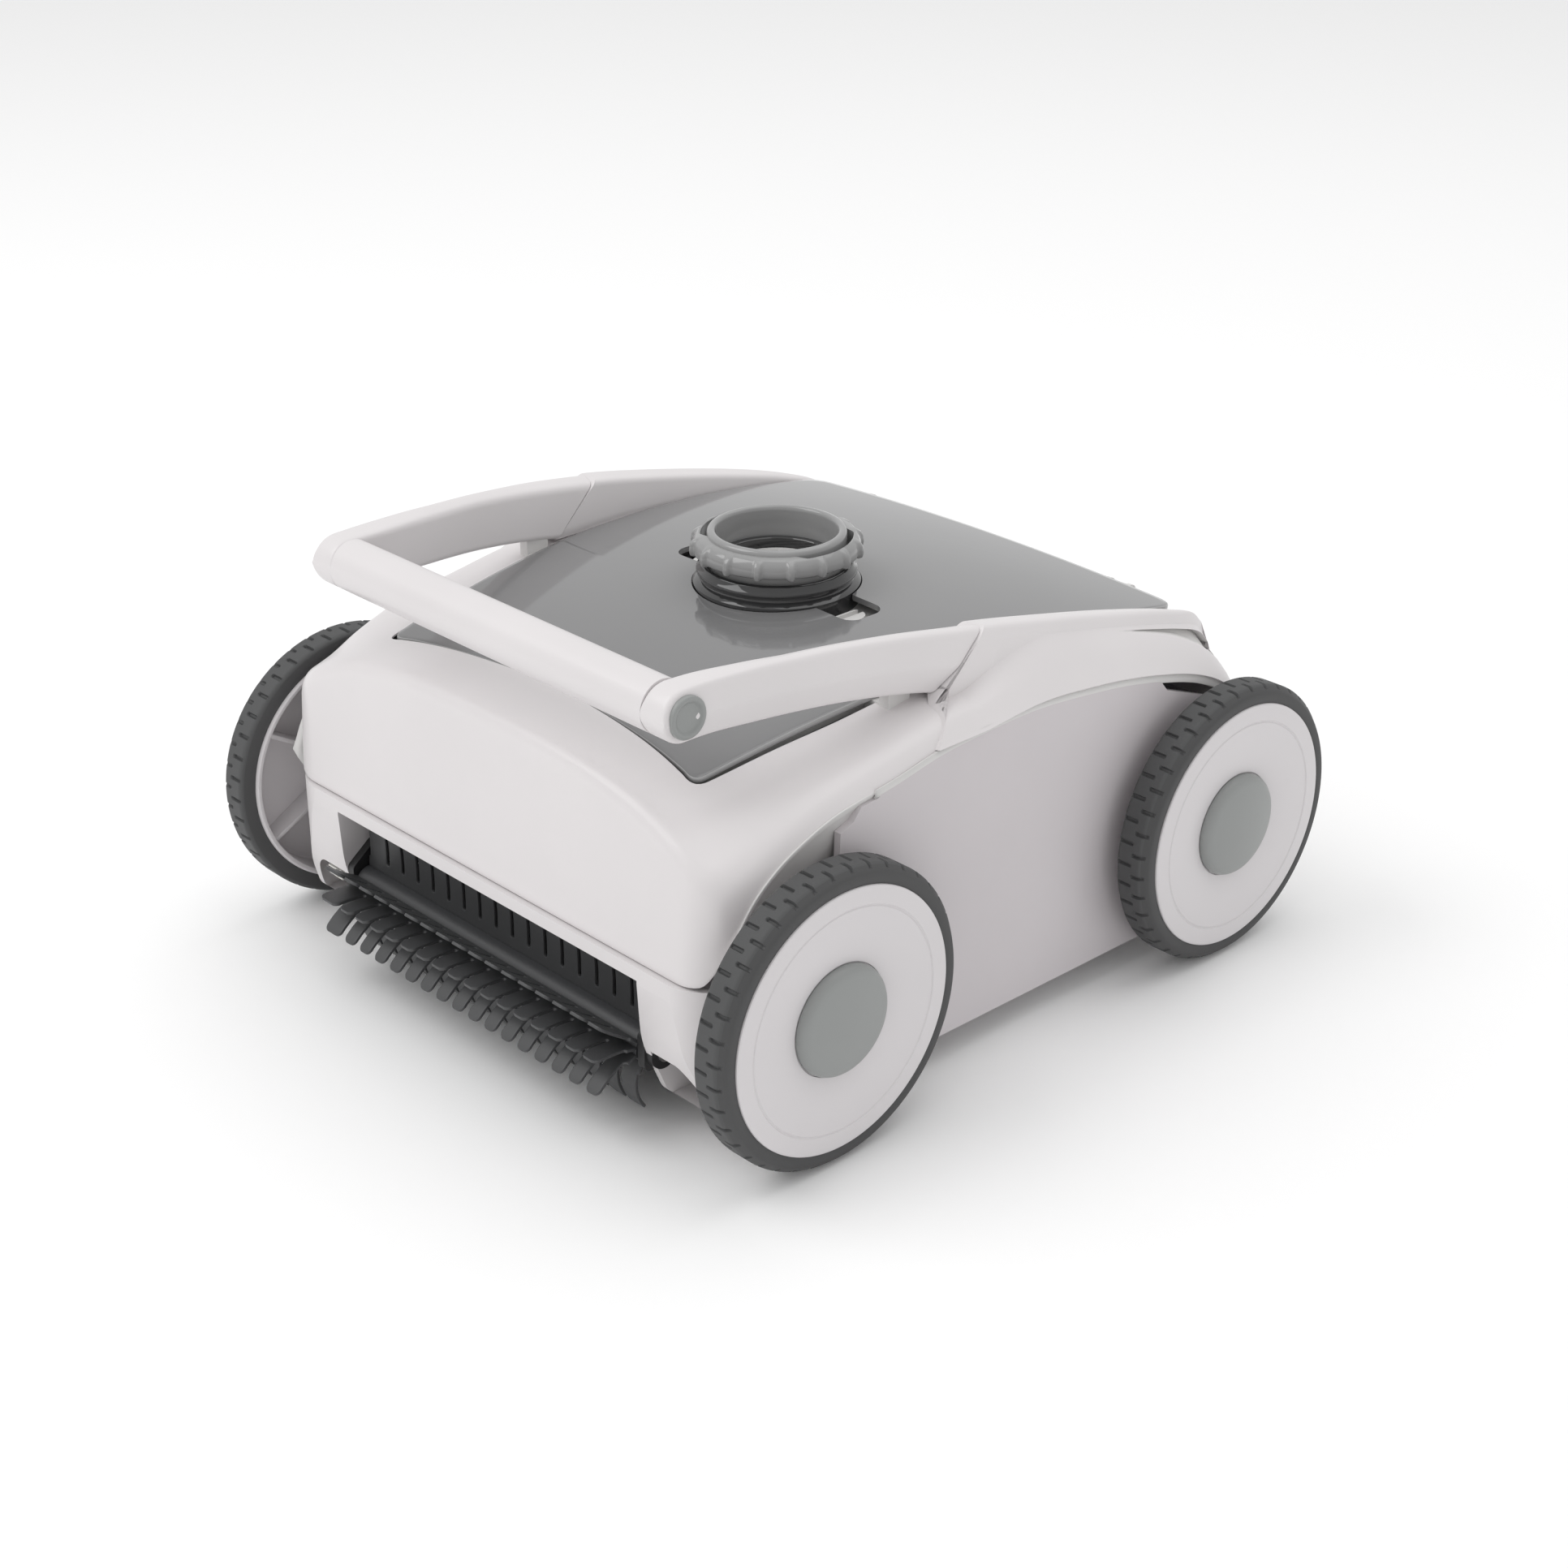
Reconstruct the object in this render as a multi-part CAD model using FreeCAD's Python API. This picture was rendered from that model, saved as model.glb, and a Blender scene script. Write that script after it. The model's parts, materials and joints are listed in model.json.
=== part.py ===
import FreeCAD, Part
import math
import os

from FreeCAD import Vector as V

# Wheeled pool cleaner, in millimetres. X points to the right side, -Y to the front (brush and
# handle), Z up, and the floor is z = 0. The origin lies under the hose collar's axis
# (x = 0, y = 0), which is also the middle of the footprint.

# ---- driving dimensions ----
WHEEL_R = 75.0
WHEELBASE = 284.4
RIM_R = 66.0
TYRE_IN, TYRE_OUT = 176.0, 196.0
CAP_R, CAP_RISE = 27.7, 4.5
AXLE_R = 5.0
BODY_HALF = 168.0
NOSE_Y, TAIL_Y = -198.0, 196.0
TUB_REAR = 183.5
FLOOR_Z = 14.0
WALL = 3.0
RUN = 0.05

MODULE = 1.25
AXLE_TEETH, BRUSH_TEETH, IDLER_TEETH = 75, 10, 40
STEP_TEETH, WHEEL_TEETH, PINION_TEETH = 14, 50, 12
BACKLASH = 0.12
GEAR_X0, GEAR_X1 = -138.0, -131.0
TRAIN_X0, TRAIN_X1 = -129.0, -123.0

FRONT_AXLE = (-WHEELBASE / 2, WHEEL_R)
REAR_AXLE = (WHEELBASE / 2, WHEEL_R)
TURBINE = (0.0, 92.0)
BRUSH_DROP_DEG = 216.8
BRUSH_R = 35.4
BRUSH_HALF = 111.0
BLADES = 6
BAY_HALF = 117.0
BAY_TOP = 85.0
NOSE_TOP = 92.0

HINGE = (163.0, 168.5)
HANDLE = (-178.0, 215.0)
HANDLE_R = 13.0
LID_TOP = 193.5
LID_CURVE_R = 703.0
LID_MID_Y = 5.0
LID_T = 3.0
SEAM = ((-40.0, 184.8), (-5.0, 214.0))
FOOT_Y = (-58.0, -44.0)
FOOT_IN, FOOT_OUT = 131.0, 137.0

RING_IN, RING_OUT, RING_TOP = 31.0, 36.0, 221.0
NECK_R, NECK_TOP = 32.0, 205.0
NECK_LIP_TOP = 204.0
NUT_LOW, NUT_TOP, NUT_RIBS = 208.8, 218.4, 16
HOSE_STOP = 205.6


def mesh_distance(teeth_a, teeth_b):
    return MODULE * (teeth_a + teeth_b) / 2


def polar(centre, radius, degrees):
    a = math.radians(degrees)
    return centre[0] + radius * math.cos(a), centre[1] + radius * math.sin(a)


def bearing_of(a, b):
    return math.degrees(math.atan2(b[1] - a[1], b[0] - a[0]))


def circles_meet(a, ra, b, rb):
    """The upper point at distance ra from a and rb from b, in the Y-Z plane."""
    d = math.hypot(b[0] - a[0], b[1] - a[1])
    along = (ra * ra - rb * rb + d * d) / (2 * d)
    up = math.sqrt(ra * ra - along * along)
    uy, uz = (b[0] - a[0]) / d, (b[1] - a[1]) / d
    return a[0] + along * uy - up * uz, a[1] + along * uz + up * uy


BRUSH = polar(FRONT_AXLE, mesh_distance(AXLE_TEETH, BRUSH_TEETH), BRUSH_DROP_DEG)
REDUCTION = polar(TURBINE, mesh_distance(WHEEL_TEETH, PINION_TEETH), 188.0)
IDLER = circles_meet(
    FRONT_AXLE,
    mesh_distance(AXLE_TEETH, IDLER_TEETH),
    REDUCTION,
    mesh_distance(IDLER_TEETH, STEP_TEETH),
)


# ---- small makers ----
def box(x0, x1, y0, y1, z0, z1):
    return Part.makeBox(x1 - x0, y1 - y0, z1 - z0, V(x0, y0, z0))


def rod(r, x0, x1, at):
    """A cylinder along X, at = (y, z)."""
    return Part.makeCylinder(r, x1 - x0, V(x0, at[0], at[1]), V(1, 0, 0))


def pipe(r_in, r_out, x0, x1, at):
    return rod(r_out, x0, x1, at).cut(rod(r_in, x0 - 1, x1 + 1, at))


def post(r, z0, z1, x=0.0, y=0.0):
    return Part.makeCylinder(r, z1 - z0, V(x, y, z0))


def tube_up(r_in, r_out, z0, z1, x=0.0, y=0.0):
    return post(r_out, z0, z1, x, y).cut(post(r_in, z0 - 1, z1 + 1, x, y))


def rounded_wire(points, radii, place):
    """A closed wire through 2D points whose corners are arcs; place(u, v) gives the 3D point."""
    n = len(points)
    ends, mids = [], []
    for i in range(n):
        p, q, r = (FreeCAD.Vector(*points[(i + k - 1) % n], 0) for k in range(3))
        a, b = (p - q).normalize(), (r - q).normalize()
        half = a.getAngle(b) / 2
        radius = radii[i] if isinstance(radii, (list, tuple)) else radii
        reach = radius / math.tan(half)
        bisector = (a + b).normalize() if radius > 0 else a
        centre = q + bisector * (radius / math.sin(half))
        ends.append((q + a * reach, q + b * reach))
        mids.append(centre - bisector * radius)
    edges = []
    for i in range(n):
        s, e = ends[i]
        if (s - e).Length > 1e-6:
            arc = [place(w.x, w.y) for w in (s, mids[i], e)]
            edges.append(Part.Arc(*arc).toShape())
        nxt = ends[(i + 1) % n][0]
        if (e - nxt).Length > 1e-6:
            edges.append(Part.makeLine(place(e.x, e.y), place(nxt.x, nxt.y)))
    return Part.Wire(edges)


def plan_prism(points, radii, z0, z1):
    """An outline in X-Y, raised from z0 to z1."""
    wire = rounded_wire(points, radii, lambda x, y: V(x, y, z0))
    return Part.Face(wire).extrude(V(0, 0, z1 - z0))


def side_prism(points, radii, x0, x1):
    """An outline in Y-Z, drawn out from x0 to x1."""
    wire = rounded_wire(points, radii, lambda y, z: V(x0, y, z))
    return Part.Face(wire).extrude(V(x1 - x0, 0, 0))


def spline_prism(curve, corners, x0, x1):
    """A Y-Z outline of one smooth curve closed by straight lines over the corners."""
    spline = Part.BSplineCurve()
    spline.interpolate([V(x0, *p) for p in curve])
    path = [curve[-1], *corners, curve[0]]
    edges = [spline.toShape()]
    edges += [Part.makeLine(V(x0, *a), V(x0, *b)) for a, b in zip(path, path[1:])]
    return Part.Face(Part.Wire(edges)).extrude(V(x1 - x0, 0, 0))


def turned(profile, at, side=1):
    """A profile of (x, r) points turned about the X axis through at = (y, z)."""
    points = [V(side * x, 0, r) for x, r in profile]
    face = Part.Face(Part.makePolygon([*points, points[0]]))
    solid = face.revolve(V(0, 0, 0), V(1, 0, 0), 360)
    solid.translate(V(0, at[0], at[1]))
    return solid


def joined(shapes):
    first, rest = shapes[0], shapes[1:]
    return first.multiFuse(rest).removeSplitter() if rest else first


def mirrored(shape):
    return shape.mirror(V(0, 0, 0), V(1, 0, 0))


def pair(maker):
    """The right and left copies of a piece, as one group of two solids."""
    return Part.makeCompound([maker(1), maker(-1)])


def gear(teeth, at, x0, x1, bore, tooth_at_deg):
    """An involute spur gear about an X axis; one tooth is centred on tooth_at_deg in Y-Z."""
    pitch, base = MODULE * teeth / 2, MODULE * teeth / 2 * math.cos(math.radians(20))
    tip, root = pitch + MODULE * 0.95, pitch - MODULE * 1.25
    start = max(base, root)

    def involute(r):
        t = math.sqrt(max((r / base) ** 2 - 1, 0))
        return t - math.atan(t)

    half_pitch = math.pi / (2 * teeth) - BACKLASH / (2 * pitch) + involute(pitch)
    flank = [(start + (tip - start) * k / 4) for k in range(5)]
    points = []
    for i in range(teeth):
        middle = math.radians(tooth_at_deg) + i * 2 * math.pi / teeth
        up = [(r, middle - (half_pitch - involute(r))) for r in flank]
        down = [(r, 2 * middle - a) for r, a in reversed(up)]
        edge = [(root, up[0][1]), *up, *down, (root, down[-1][1])]
        points += [V(x0, r * math.cos(a), r * math.sin(a)) for r, a in edge]
    if root >= base:
        points = [p for k, p in enumerate(points) if k % 12 not in (0, 11)]
    face = Part.Face(Part.makePolygon([*points, points[0]]))
    solid = face.extrude(V(x1 - x0, 0, 0))
    solid.translate(V(0, at[0], at[1]))
    return solid.cut(rod(bore, x0 - 1, x1 + 1, at))


def meshing_phase(teeth, towards_deg, driver_teeth, driver_phase):
    """The tooth direction that puts a gap of this gear where the driver has a tooth."""
    facing = towards_deg + 180
    off = (towards_deg - driver_phase) % (360 / driver_teeth)
    return facing + off * driver_teeth / teeth + 180 / teeth


# ---- outer skin ----
# Half sections of the upper shell, from the middle outwards: heights at SKIN_X for each y.
SKIN_X = (0.0, 60.0, 105.0, 128.0, 146.0, 160.0, 168.0)
SKIN = {
    -200.0: (178.0, 176.0, 167.5, 158.5, 149.0, 136.0, 112.0),
    -172.0: (178.0, 176.5, 171.0, 164.5, 156.5, 146.0, 128.0),
    -150.0: (179.0, 177.0, 173.5, 169.5, 164.5, 157.5, 146.0),
    -120.0: (184.0, 182.0, 178.5, 175.0, 172.0, 168.0, 158.0),
    -85.0: (189.0, 187.5, 184.5, 179.5, 177.0, 174.0, 165.0),
    -40.0: (192.5, 191.5, 189.0, 186.0, 184.0, 180.5, 171.5),
    10.0: (193.5, 192.5, 190.5, 188.5, 187.0, 183.5, 174.0),
    70.0: (190.0, 189.0, 187.0, 185.0, 182.5, 178.0, 167.0),
    125.0: (182.0, 181.0, 178.5, 175.0, 170.5, 164.0, 153.0),
    170.0: (163.0, 162.0, 159.0, 154.0, 147.5, 139.5, 126.0),
    205.0: (138.0, 137.0, 133.0, 127.0, 119.5, 110.0, 94.0),
}
# The side panels' top corners step down from the lip, in front and behind.
PANEL_FRONT_NOTCH = [(-130.0, 180.0), (-92.0, 180.0), (-93.0, 160.5), (-105.0, 159.5), (-110.0, 153.5),
                     (-130.0, 146.0)]
PANEL_REAR_NOTCH = [(104.0, 180.0), (106.0, 158.0), (112.0, 151.0), (131.0, 143.5), (160.0, 132.0),
                    (160.0, 180.0)]
PANEL_HOLE_R = 19.0
LIP = ((-182.0, 118.0), (-168.0, 136.0), (-147.0, 150.0), (-118.0, 160.0), (-85.0, 164.5),
       (-45.0, 171.0), (4.0, 173.0), (60.0, 168.0), (115.0, 157.0), (150.0, 144.0),
       (172.0, 126.0), (184.0, 104.0))


def arch_solid(inset):
    """The crowned top skin as a solid block down to z = 50."""
    wires = []
    for y, heights in sorted(SKIN.items()):
        half = [(x * (1 - inset / BODY_HALF), z - inset) for x, z in zip(SKIN_X, heights)]
        foot = BODY_HALF - inset
        crown = [V(-x, y, z) for x, z in reversed(half[1:])] + [V(x, y, z) for x, z in half]
        curve = Part.BSplineCurve()
        curve.interpolate(crown)
        feet = [V(foot, y, 50), V(-foot, y, 50)]
        edges = [curve.toShape()]
        path = [crown[-1], *feet, crown[0]]
        edges += [Part.makeLine(a, b) for a, b in zip(path, path[1:])]
        wires.append(Part.Wire(edges))
    return Part.makeLoft(wires, True, False)


def plan_block(inset):
    """The body's plan, which leans in a little towards the top at nose and tail."""
    def outline(front, rear, half, z):
        points = [(-half, front), (half, front), (half, rear), (-half, rear)]
        return rounded_wire(points, [26.0, 26.0, 34.0, 34.0], lambda x, y: V(x, y, z))

    half = BODY_HALF + 0.5 - inset
    low = outline(NOSE_Y + inset, TAIL_Y - inset, half, 40.0)
    high = outline(NOSE_Y + 12 + inset, TAIL_Y - 22 - inset, half, 230.0)
    return Part.makeLoft([low, high], True, True)


def lid_outline(grow):
    """The smoked panel's plan: bowed front edge, sides that widen to the rear."""
    points = [(0.0, -146.0 - grow), (113.5 + grow, -157.5 - grow), (122.5 + grow, -88.0),
              (129.0 + grow, -15.0), (133.0 + grow, 158.0 + grow), (-133.0 - grow, 158.0 + grow),
              (-129.0 - grow, -15.0), (-122.5 - grow, -88.0), (-113.5 - grow, -157.5 - grow)]
    return points, [420.0, 14.0 + grow, 300.0, 400.0, 12.0, 12.0, 400.0, 300.0, 14.0 + grow]


def lid_slab(top, thickness):
    """A sheet with the lid's two-way crown: top is its height at the middle."""
    def bow(z):
        return Part.Arc(V(-150, 5, z - 4.6), V(0, 5, z), V(150, 5, z - 4.6)).toShape()

    upper, lower = bow(top), bow(top - thickness)
    sides = [Part.makeLine(V(s * 150, 5, top - 4.6), V(s * 150, 5, top - thickness - 4.6))
             for s in (-1, 1)]
    face = Part.Face(Part.Wire([upper, sides[1], lower, sides[0]]))
    axis_at = V(0, LID_MID_Y, LID_TOP - LID_CURVE_R)
    face.rotate(axis_at, V(1, 0, 0), -15)
    return face.revolve(axis_at, V(1, 0, 0), 30)


def rail_solid():
    """The right rail that carries on from the handle's arm to the tail."""
    top = ((-60.0, 223.0), (-16.0, 216.0), (4.0, 212.5), (35.0, 206.5), (97.0, 192.0),
           (143.0, 179.5), (163.0, 172.0), (172.0, 163.0))
    side = spline_prism(top, [(175.0, 156.0), (100.0, 168.0), (0.0, 174.0), (-60.0, 174.0)], 125, 155)
    plan = plan_prism(
        [(124.0, -70.0), (144.0, -70.0), (150.5, -5.0), (152.0, 100.0), (146.0, 176.0),
         (137.0, 176.0), (136.2, 158.0), (132.0, -15.0)],
        [0, 0, 200.0, 200.0, 8.0, 0, 0, 0], 150, 240)
    return side.common(plan)


def seam_block(clear):
    """Everything in front of and above the parting line between arm and rail."""
    (y0, z0), (y1, z1) = SEAM
    length = math.hypot(y1 - y0, z1 - z0)
    uy, uz = (y1 - y0) / length, (z1 - z0) / length
    oy, oz = -uz * clear, uy * clear
    a = (y0 - 30 * uy + oy, z0 - 30 * uz + oz)
    b = (y1 + 40 * uy + oy, z1 + 40 * uz + oz)
    return side_prism([a, b, (y1 - 60, 330.0), (-260.0, 330.0), (-260.0, a[1])], 0, 60, 260)


def upper_shell():
    skin = arch_solid(0).common(plan_block(0))
    hollow = arch_solid(2.8).common(plan_block(2.8))
    shell = skin.cut(hollow)
    below = spline_prism(LIP, [(230.0, 96.0), (230.0, 30.0), (-230.0, 30.0), (-230.0, 93.0),
                               (-180.5, 93.0)], -220, 220)
    shell = shell.cut(below)
    rail = rail_solid().cut(hollow.common(box(100, 200, -80, 200, 0, 174)))
    rail = rail.cut(seam_block(0.5).common(box(100, 200, -300, 40, 0, 400)))
    shell = joined([shell, rail, mirrored(rail)])
    outline, radii = lid_outline(2.5)
    shell = shell.cut(plan_prism(outline, radii, 120, 260))
    foot_pocket = box(100, FOOT_OUT + 1.0, FOOT_Y[0] - 1.5, FOOT_Y[1] + 2.0, 150, 190)
    hinge_pocket = box(79, 99.5, 150, 175, 145, 190)
    pockets = [foot_pocket, hinge_pocket]
    return shell.cut(joined([*pockets, *[mirrored(p) for p in pockets]]))


def chassis_tub():
    nose = plan_prism([(-163.0, NOSE_Y + 0.6), (163.0, NOSE_Y + 0.6), (163.0, -140.0), (-163.0, -140.0)],
                      [26.0, 26.0, 0, 0], 17.0, NOSE_TOP)
    rounding = side_prism([(NOSE_Y, NOSE_TOP + 1), (NOSE_Y + 2.5, 52.0), (-181.0, 17.0), (-140.0, 17.0),
                           (-140.0, NOSE_TOP + 1)], [0, 60.0, 14.0, 0, 0], -170, 170)
    nose = nose.common(rounding)
    cabin = plan_prism([(-158.0, -145.0), (158.0, -145.0), (158.0, TUB_REAR), (-158.0, TUB_REAR)],
                       [0, 0, 30.0, 30.0], FLOOR_Z, 116.0)
    tub = nose.fuse(cabin)
    back = TUB_REAR - WALL
    room = plan_prism([(-155.0, -148.0), (155.0, -148.0), (155.0, back), (-155.0, back)],
                      [0, 0, 27.0, 27.0], FLOOR_Z + WALL, 130.0)
    cheek = plan_prism([(-159.5, -193.5), (-121.0, -193.5), (-121.0, -140.0), (-159.5, -140.0)],
                       [22.0, 0, 0, 0], 20.0, 130.0)
    bay = box(-BAY_HALF, BAY_HALF, -210, -147, 0, BAY_TOP)
    tub = tub.cut(joined([room, cheek, mirrored(cheek)])).cut(bay)
    bosses = [rod(12.0, s * 149 - 6, s * 149 + 6, REAR_AXLE) for s in (-1, 1)]
    tub = joined([tub, *bosses])
    holes = [rod(9.0, s * 160 - 12, s * 160 + 12, FRONT_AXLE) for s in (-1, 1)]
    holes += [rod(AXLE_R, s * 150 - 12, s * 150 + 12, REAR_AXLE) for s in (-1, 1)]
    holes += [rod(8.0, s * 119 - 5, s * 119 + 5, BRUSH) for s in (-1, 1)]
    holes.append(box(-46, 46, -20, 20, 0, 30))
    holes += [post(2.1, 0, 30, x, y) for x, y in PLATE_SCREWS]
    holes += [box(x - 3, x + 3, 150, 176, 0, 30) for x in range(-100, 101, 20)]
    return tub.cut(joined(holes))


PLATE_SCREWS = [(x, y) for x in (-86.0, 86.0) for y in (-92.0, 0.0, 92.0)]


def bottom_plate():
    plate = plan_prism([(-96.0, -108.0), (96.0, -108.0), (96.0, 108.0), (-96.0, 108.0)], 14.0,
                       FLOOR_Z - 3.0, FLOOR_Z)
    ribs = [box(-70, 70, y - 1.5, y + 1.5, FLOOR_Z - 4.5, FLOOR_Z - 3) for y in (-60, -40, 40, 60)]
    throat = box(-46, 46, -20, 20, 0, 30)
    holes = [post(2.1, 0, 30, x, y) for x, y in PLATE_SCREWS]
    return joined([plate, *ribs]).cut(joined([throat, *holes]))


def intake_skirt():
    """The soft rubber lip that hangs round the intake's mouth."""
    outer = plan_prism([(-56.0, -30.0), (56.0, -30.0), (56.0, 30.0), (-56.0, 30.0)], 8.0, 4.0, FLOOR_Z - 3)
    inner = plan_prism([(-48.0, -22.0), (48.0, -22.0), (48.0, 22.0), (-48.0, 22.0)], 6.0, 0.0, 20.0)
    return outer.cut(inner)


def screws(places, z_head, length, head_r=3.6, shank_r=2.0):
    """Round-headed screws that point up from z_head, as one group of separate solids."""
    made = []
    for x, y in places:
        head = post(head_r, z_head - 1.8, z_head, x, y).cut(
            box(x - 0.5, x + 0.5, y - 2.4, y + 2.4, z_head - 2, z_head - 1))
        made.append(head.fuse(post(shank_r, z_head, z_head + length, x, y)).removeSplitter())
    return Part.makeCompound(made)


def side_panel():
    """The right cover between the wheels, under the shell's arch."""
    top = [(y, z - 1.2) for y, z in LIP[3:10]]
    face = spline_prism(top, [(150.0, 12.0), (-120.0, 12.0)], 163.0, 167.0)
    axle_holes = joined([rod(PANEL_HOLE_R, 150, 180, at) for at in (FRONT_AXLE, REAR_AXLE)])
    low_edge = side_prism([(-120.0, 5.0), (150.0, 5.0), (150.0, 13.0), (-120.0, 16.5)], 0, 150, 180)
    front_notch = side_prism(PANEL_FRONT_NOTCH, 1.5, 150, 180)
    rear_notch = side_prism(PANEL_REAR_NOTCH, 1.5, 150, 180)
    panel = face.cut(joined([axle_holes, low_edge])).cut(front_notch).cut(rear_notch)
    peg_places = ((-36.0, 110.0), (36.0, 110.0), (-36.0, 34.0), (36.0, 34.0))
    pegs = [rod(4.0, 158.0, 163.0, at) for at in peg_places]
    return joined([panel, *pegs])


def brush_bay_grille():
    """The dark liner behind the brush: slotted above, rolled round the brush below."""
    y, z = BRUSH
    flat_low = z + 19.0

    def half(r):
        drop = math.asin((z - 18.0) / r)
        rise = math.asin(19.0 / r)
        a, b, c = (V(-116.4, y + r * math.cos(t), z + r * math.sin(t))
                   for t in (rise, (rise - drop) / 2, -drop))
        return a, b, c
    a0, b0, c0 = half(BRUSH_R + 2.2)
    a1, b1, c1 = half(BRUSH_R + 4.4)
    top0, top1 = V(-116.4, a0.y, BAY_TOP - 0.4), V(-116.4, a1.y, BAY_TOP - 0.4)
    wire = Part.Wire([Part.makeLine(top0, a0), Part.Arc(a0, b0, c0).toShape(), Part.makeLine(c0, c1),
                      Part.Arc(c1, b1, a1).toShape(), Part.makeLine(a1, top1), Part.makeLine(top1, top0)])
    liner = Part.Face(wire).extrude(V(232.8, 0, 0))
    slots = [box(x - 1.5, x + 1.5, -160, -140, flat_low + 2, 81) for x in
             (k * 12.8 for k in range(-8, 9))]
    return liner.cut(joined(slots))


def brush_bearing(side):
    block = side_prism([(BRUSH[0] - 9, BRUSH[1] - 9), (BRUSH[0] + 9, BRUSH[1] - 9),
                        (BRUSH[0] + 9, BRUSH[1] + 24), (BRUSH[0] - 9, BRUSH[1] + 10)],
                       [4.0, 4.0, 3.0, 3.0], 112.2, 117.0)
    spigot = rod(7.9, 117.0, 121.0, BRUSH)
    made = joined([block, spigot]).cut(rod(4.0 + RUN, 100, 130, BRUSH))
    return made if side > 0 else mirrored(made)


def brush_core():
    core = rod(9.0, -BRUSH_HALF, BRUSH_HALF, BRUSH)
    return core.cut(rod(4.0, -120, 120, BRUSH))


def brush_blades():
    """Six soft fins cut into fingers, plain here: one closed solid for each."""
    fins = []
    for k in range(BLADES):
        fin = box(-BRUSH_HALF, BRUSH_HALF, -0.9, 0.9, 9.0, BRUSH_R)
        slots = [box(x - 1.3, x + 1.3, -2, 2, 19.0, 40) for x in
                 (-BRUSH_HALF + 15.4 + 12.8 * j for j in range(16))]
        fin = fin.cut(joined(slots))
        fin.rotate(V(0, 0, 0), V(1, 0, 0), 55 + k * 360 / BLADES)
        fin.translate(V(0, BRUSH[0], BRUSH[1]))
        fins.append(fin.cut(rod(9.0, -120, 120, BRUSH)))
    return Part.makeCompound(fins)


def tyre(at, side):
    profile = [(TYRE_IN + 0.8, RIM_R), (TYRE_IN + 0.8, 72.8), (TYRE_IN + 2.4, WHEEL_R),
               (TYRE_OUT - 4.6, WHEEL_R), (TYRE_OUT - 0.8, 72.2), (TYRE_OUT - 0.8, RIM_R)]
    return turned(profile, at, side)


def rim(at, side, bore):
    """White wheel: dished face, barrel under the tyre, ribs and a long hub boss."""
    profile = [(172.0, bore), (172.0, 13.0), (191.5, 15.0), (191.5, 61.5), (178.0, 62.4),
               (TYRE_IN, 63.0), (TYRE_IN, 65.0), (TYRE_IN + 0.8, RIM_R), (TYRE_OUT, RIM_R),
               (TYRE_OUT, 57.0), (TYRE_OUT - 0.8, 56.2), (TYRE_OUT - 0.8, 30.0), (194.0, 24.0),
               (194.0, bore)]
    wheel = turned(profile, at, side)
    ribs = []
    for k in range(6):
        rib = box(180, 192, -1.2, 1.2, 13.5, 62)
        rib.rotate(V(0, 0, 0), V(1, 0, 0), 30 + 60 * k)
        rib.translate(V(0, *at))
        ribs.append(rib if side > 0 else mirrored(rib))
    return joined([wheel, *ribs])


def hub_cap(at, side):
    face = TYRE_OUT + CAP_RISE
    profile = [(TYRE_OUT - 0.8, 0.0), (TYRE_OUT - 0.8, 26.8), (TYRE_OUT + 0.4, CAP_R),
               (TYRE_OUT + 2.0, CAP_R), (face - 1.2, 25.0), (face - 0.4, 15.0), (face, 0.0)]
    return turned(profile, at, side)


def stub_axle(side):
    """A fixed rear axle with the collar that keeps the wheel on."""
    pin = rod(AXLE_R, 139.0, 190.0, REAR_AXLE)
    stop = rod(7.0, 161.0, 171.6, REAR_AXLE)
    made = joined([pin, stop])
    return made if side > 0 else mirrored(made)


def retaining_screw(side):
    """The wheel's washer-headed screw, which sits under the hub cap."""
    head = rod(9.0, 194.05, 195.0, REAR_AXLE)
    shank = rod(2.0, 190.0, 194.1, REAR_AXLE)
    made = joined([head, shank])
    return made if side > 0 else mirrored(made)


def front_axle():
    return rod(AXLE_R, -193.0, 193.0, FRONT_AXLE)


def axle_bush(side):
    made = pipe(AXLE_R + RUN, 9.0, 154.0, 163.0, FRONT_AXLE)
    flange = pipe(AXLE_R + RUN, 12.0, 163.0, 165.5, FRONT_AXLE)
    made = joined([made, flange])
    return made if side > 0 else mirrored(made)


def gear_plate(x0, x1, holes):
    """One cheek of the gearbox, which follows the gear train."""
    outline = side_prism([(-171.0, 60.0), (-171.0, 106.0), (-142.0, 127.0), (-96.0, 128.0),
                          (18.0, 124.0), (18.0, 62.0), (-60.0, 50.0), (-142.0, 40.0)], 10.0, x0, x1)
    cuts = [rod(r, x0 - 1, x1 + 1, at) for r, at in holes]
    return outline.cut(joined(cuts))


def gearbox_case():
    plate = gear_plate(-121.0, -118.0, [(AXLE_R + 1.5, FRONT_AXLE), (6.0, TURBINE), (3.0, REDUCTION)])
    plate = plate.cut(box(-122, -117, -175, -147, 30, 130))
    posts = [rod(3.0, -141.0, -121.0, at) for at in ((-92.0, 122.0), (10.0, 118.0), (12.0, 69.0))]
    foot = box(-121.0, -112.0, -110.0, 12.0, FLOOR_Z + WALL, 56.0).cut(
        box(-118.0, -110.0, -112.0, 14.0, FLOOR_Z + WALL + 3, 60.0))
    return joined([plate, *posts, foot])


def gearbox_cover():
    cover = gear_plate(-144.0, -141.0, [(AXLE_R + 1.5, FRONT_AXLE), (3.0, REDUCTION), (3.0, IDLER)])
    return cover


def gear_shafts():
    long_pin = rod(3.0, -144.0, -118.0, REDUCTION)
    short_pin = rod(3.0, -144.0, -130.6, IDLER)
    return Part.makeCompound([long_pin, short_pin])


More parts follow.
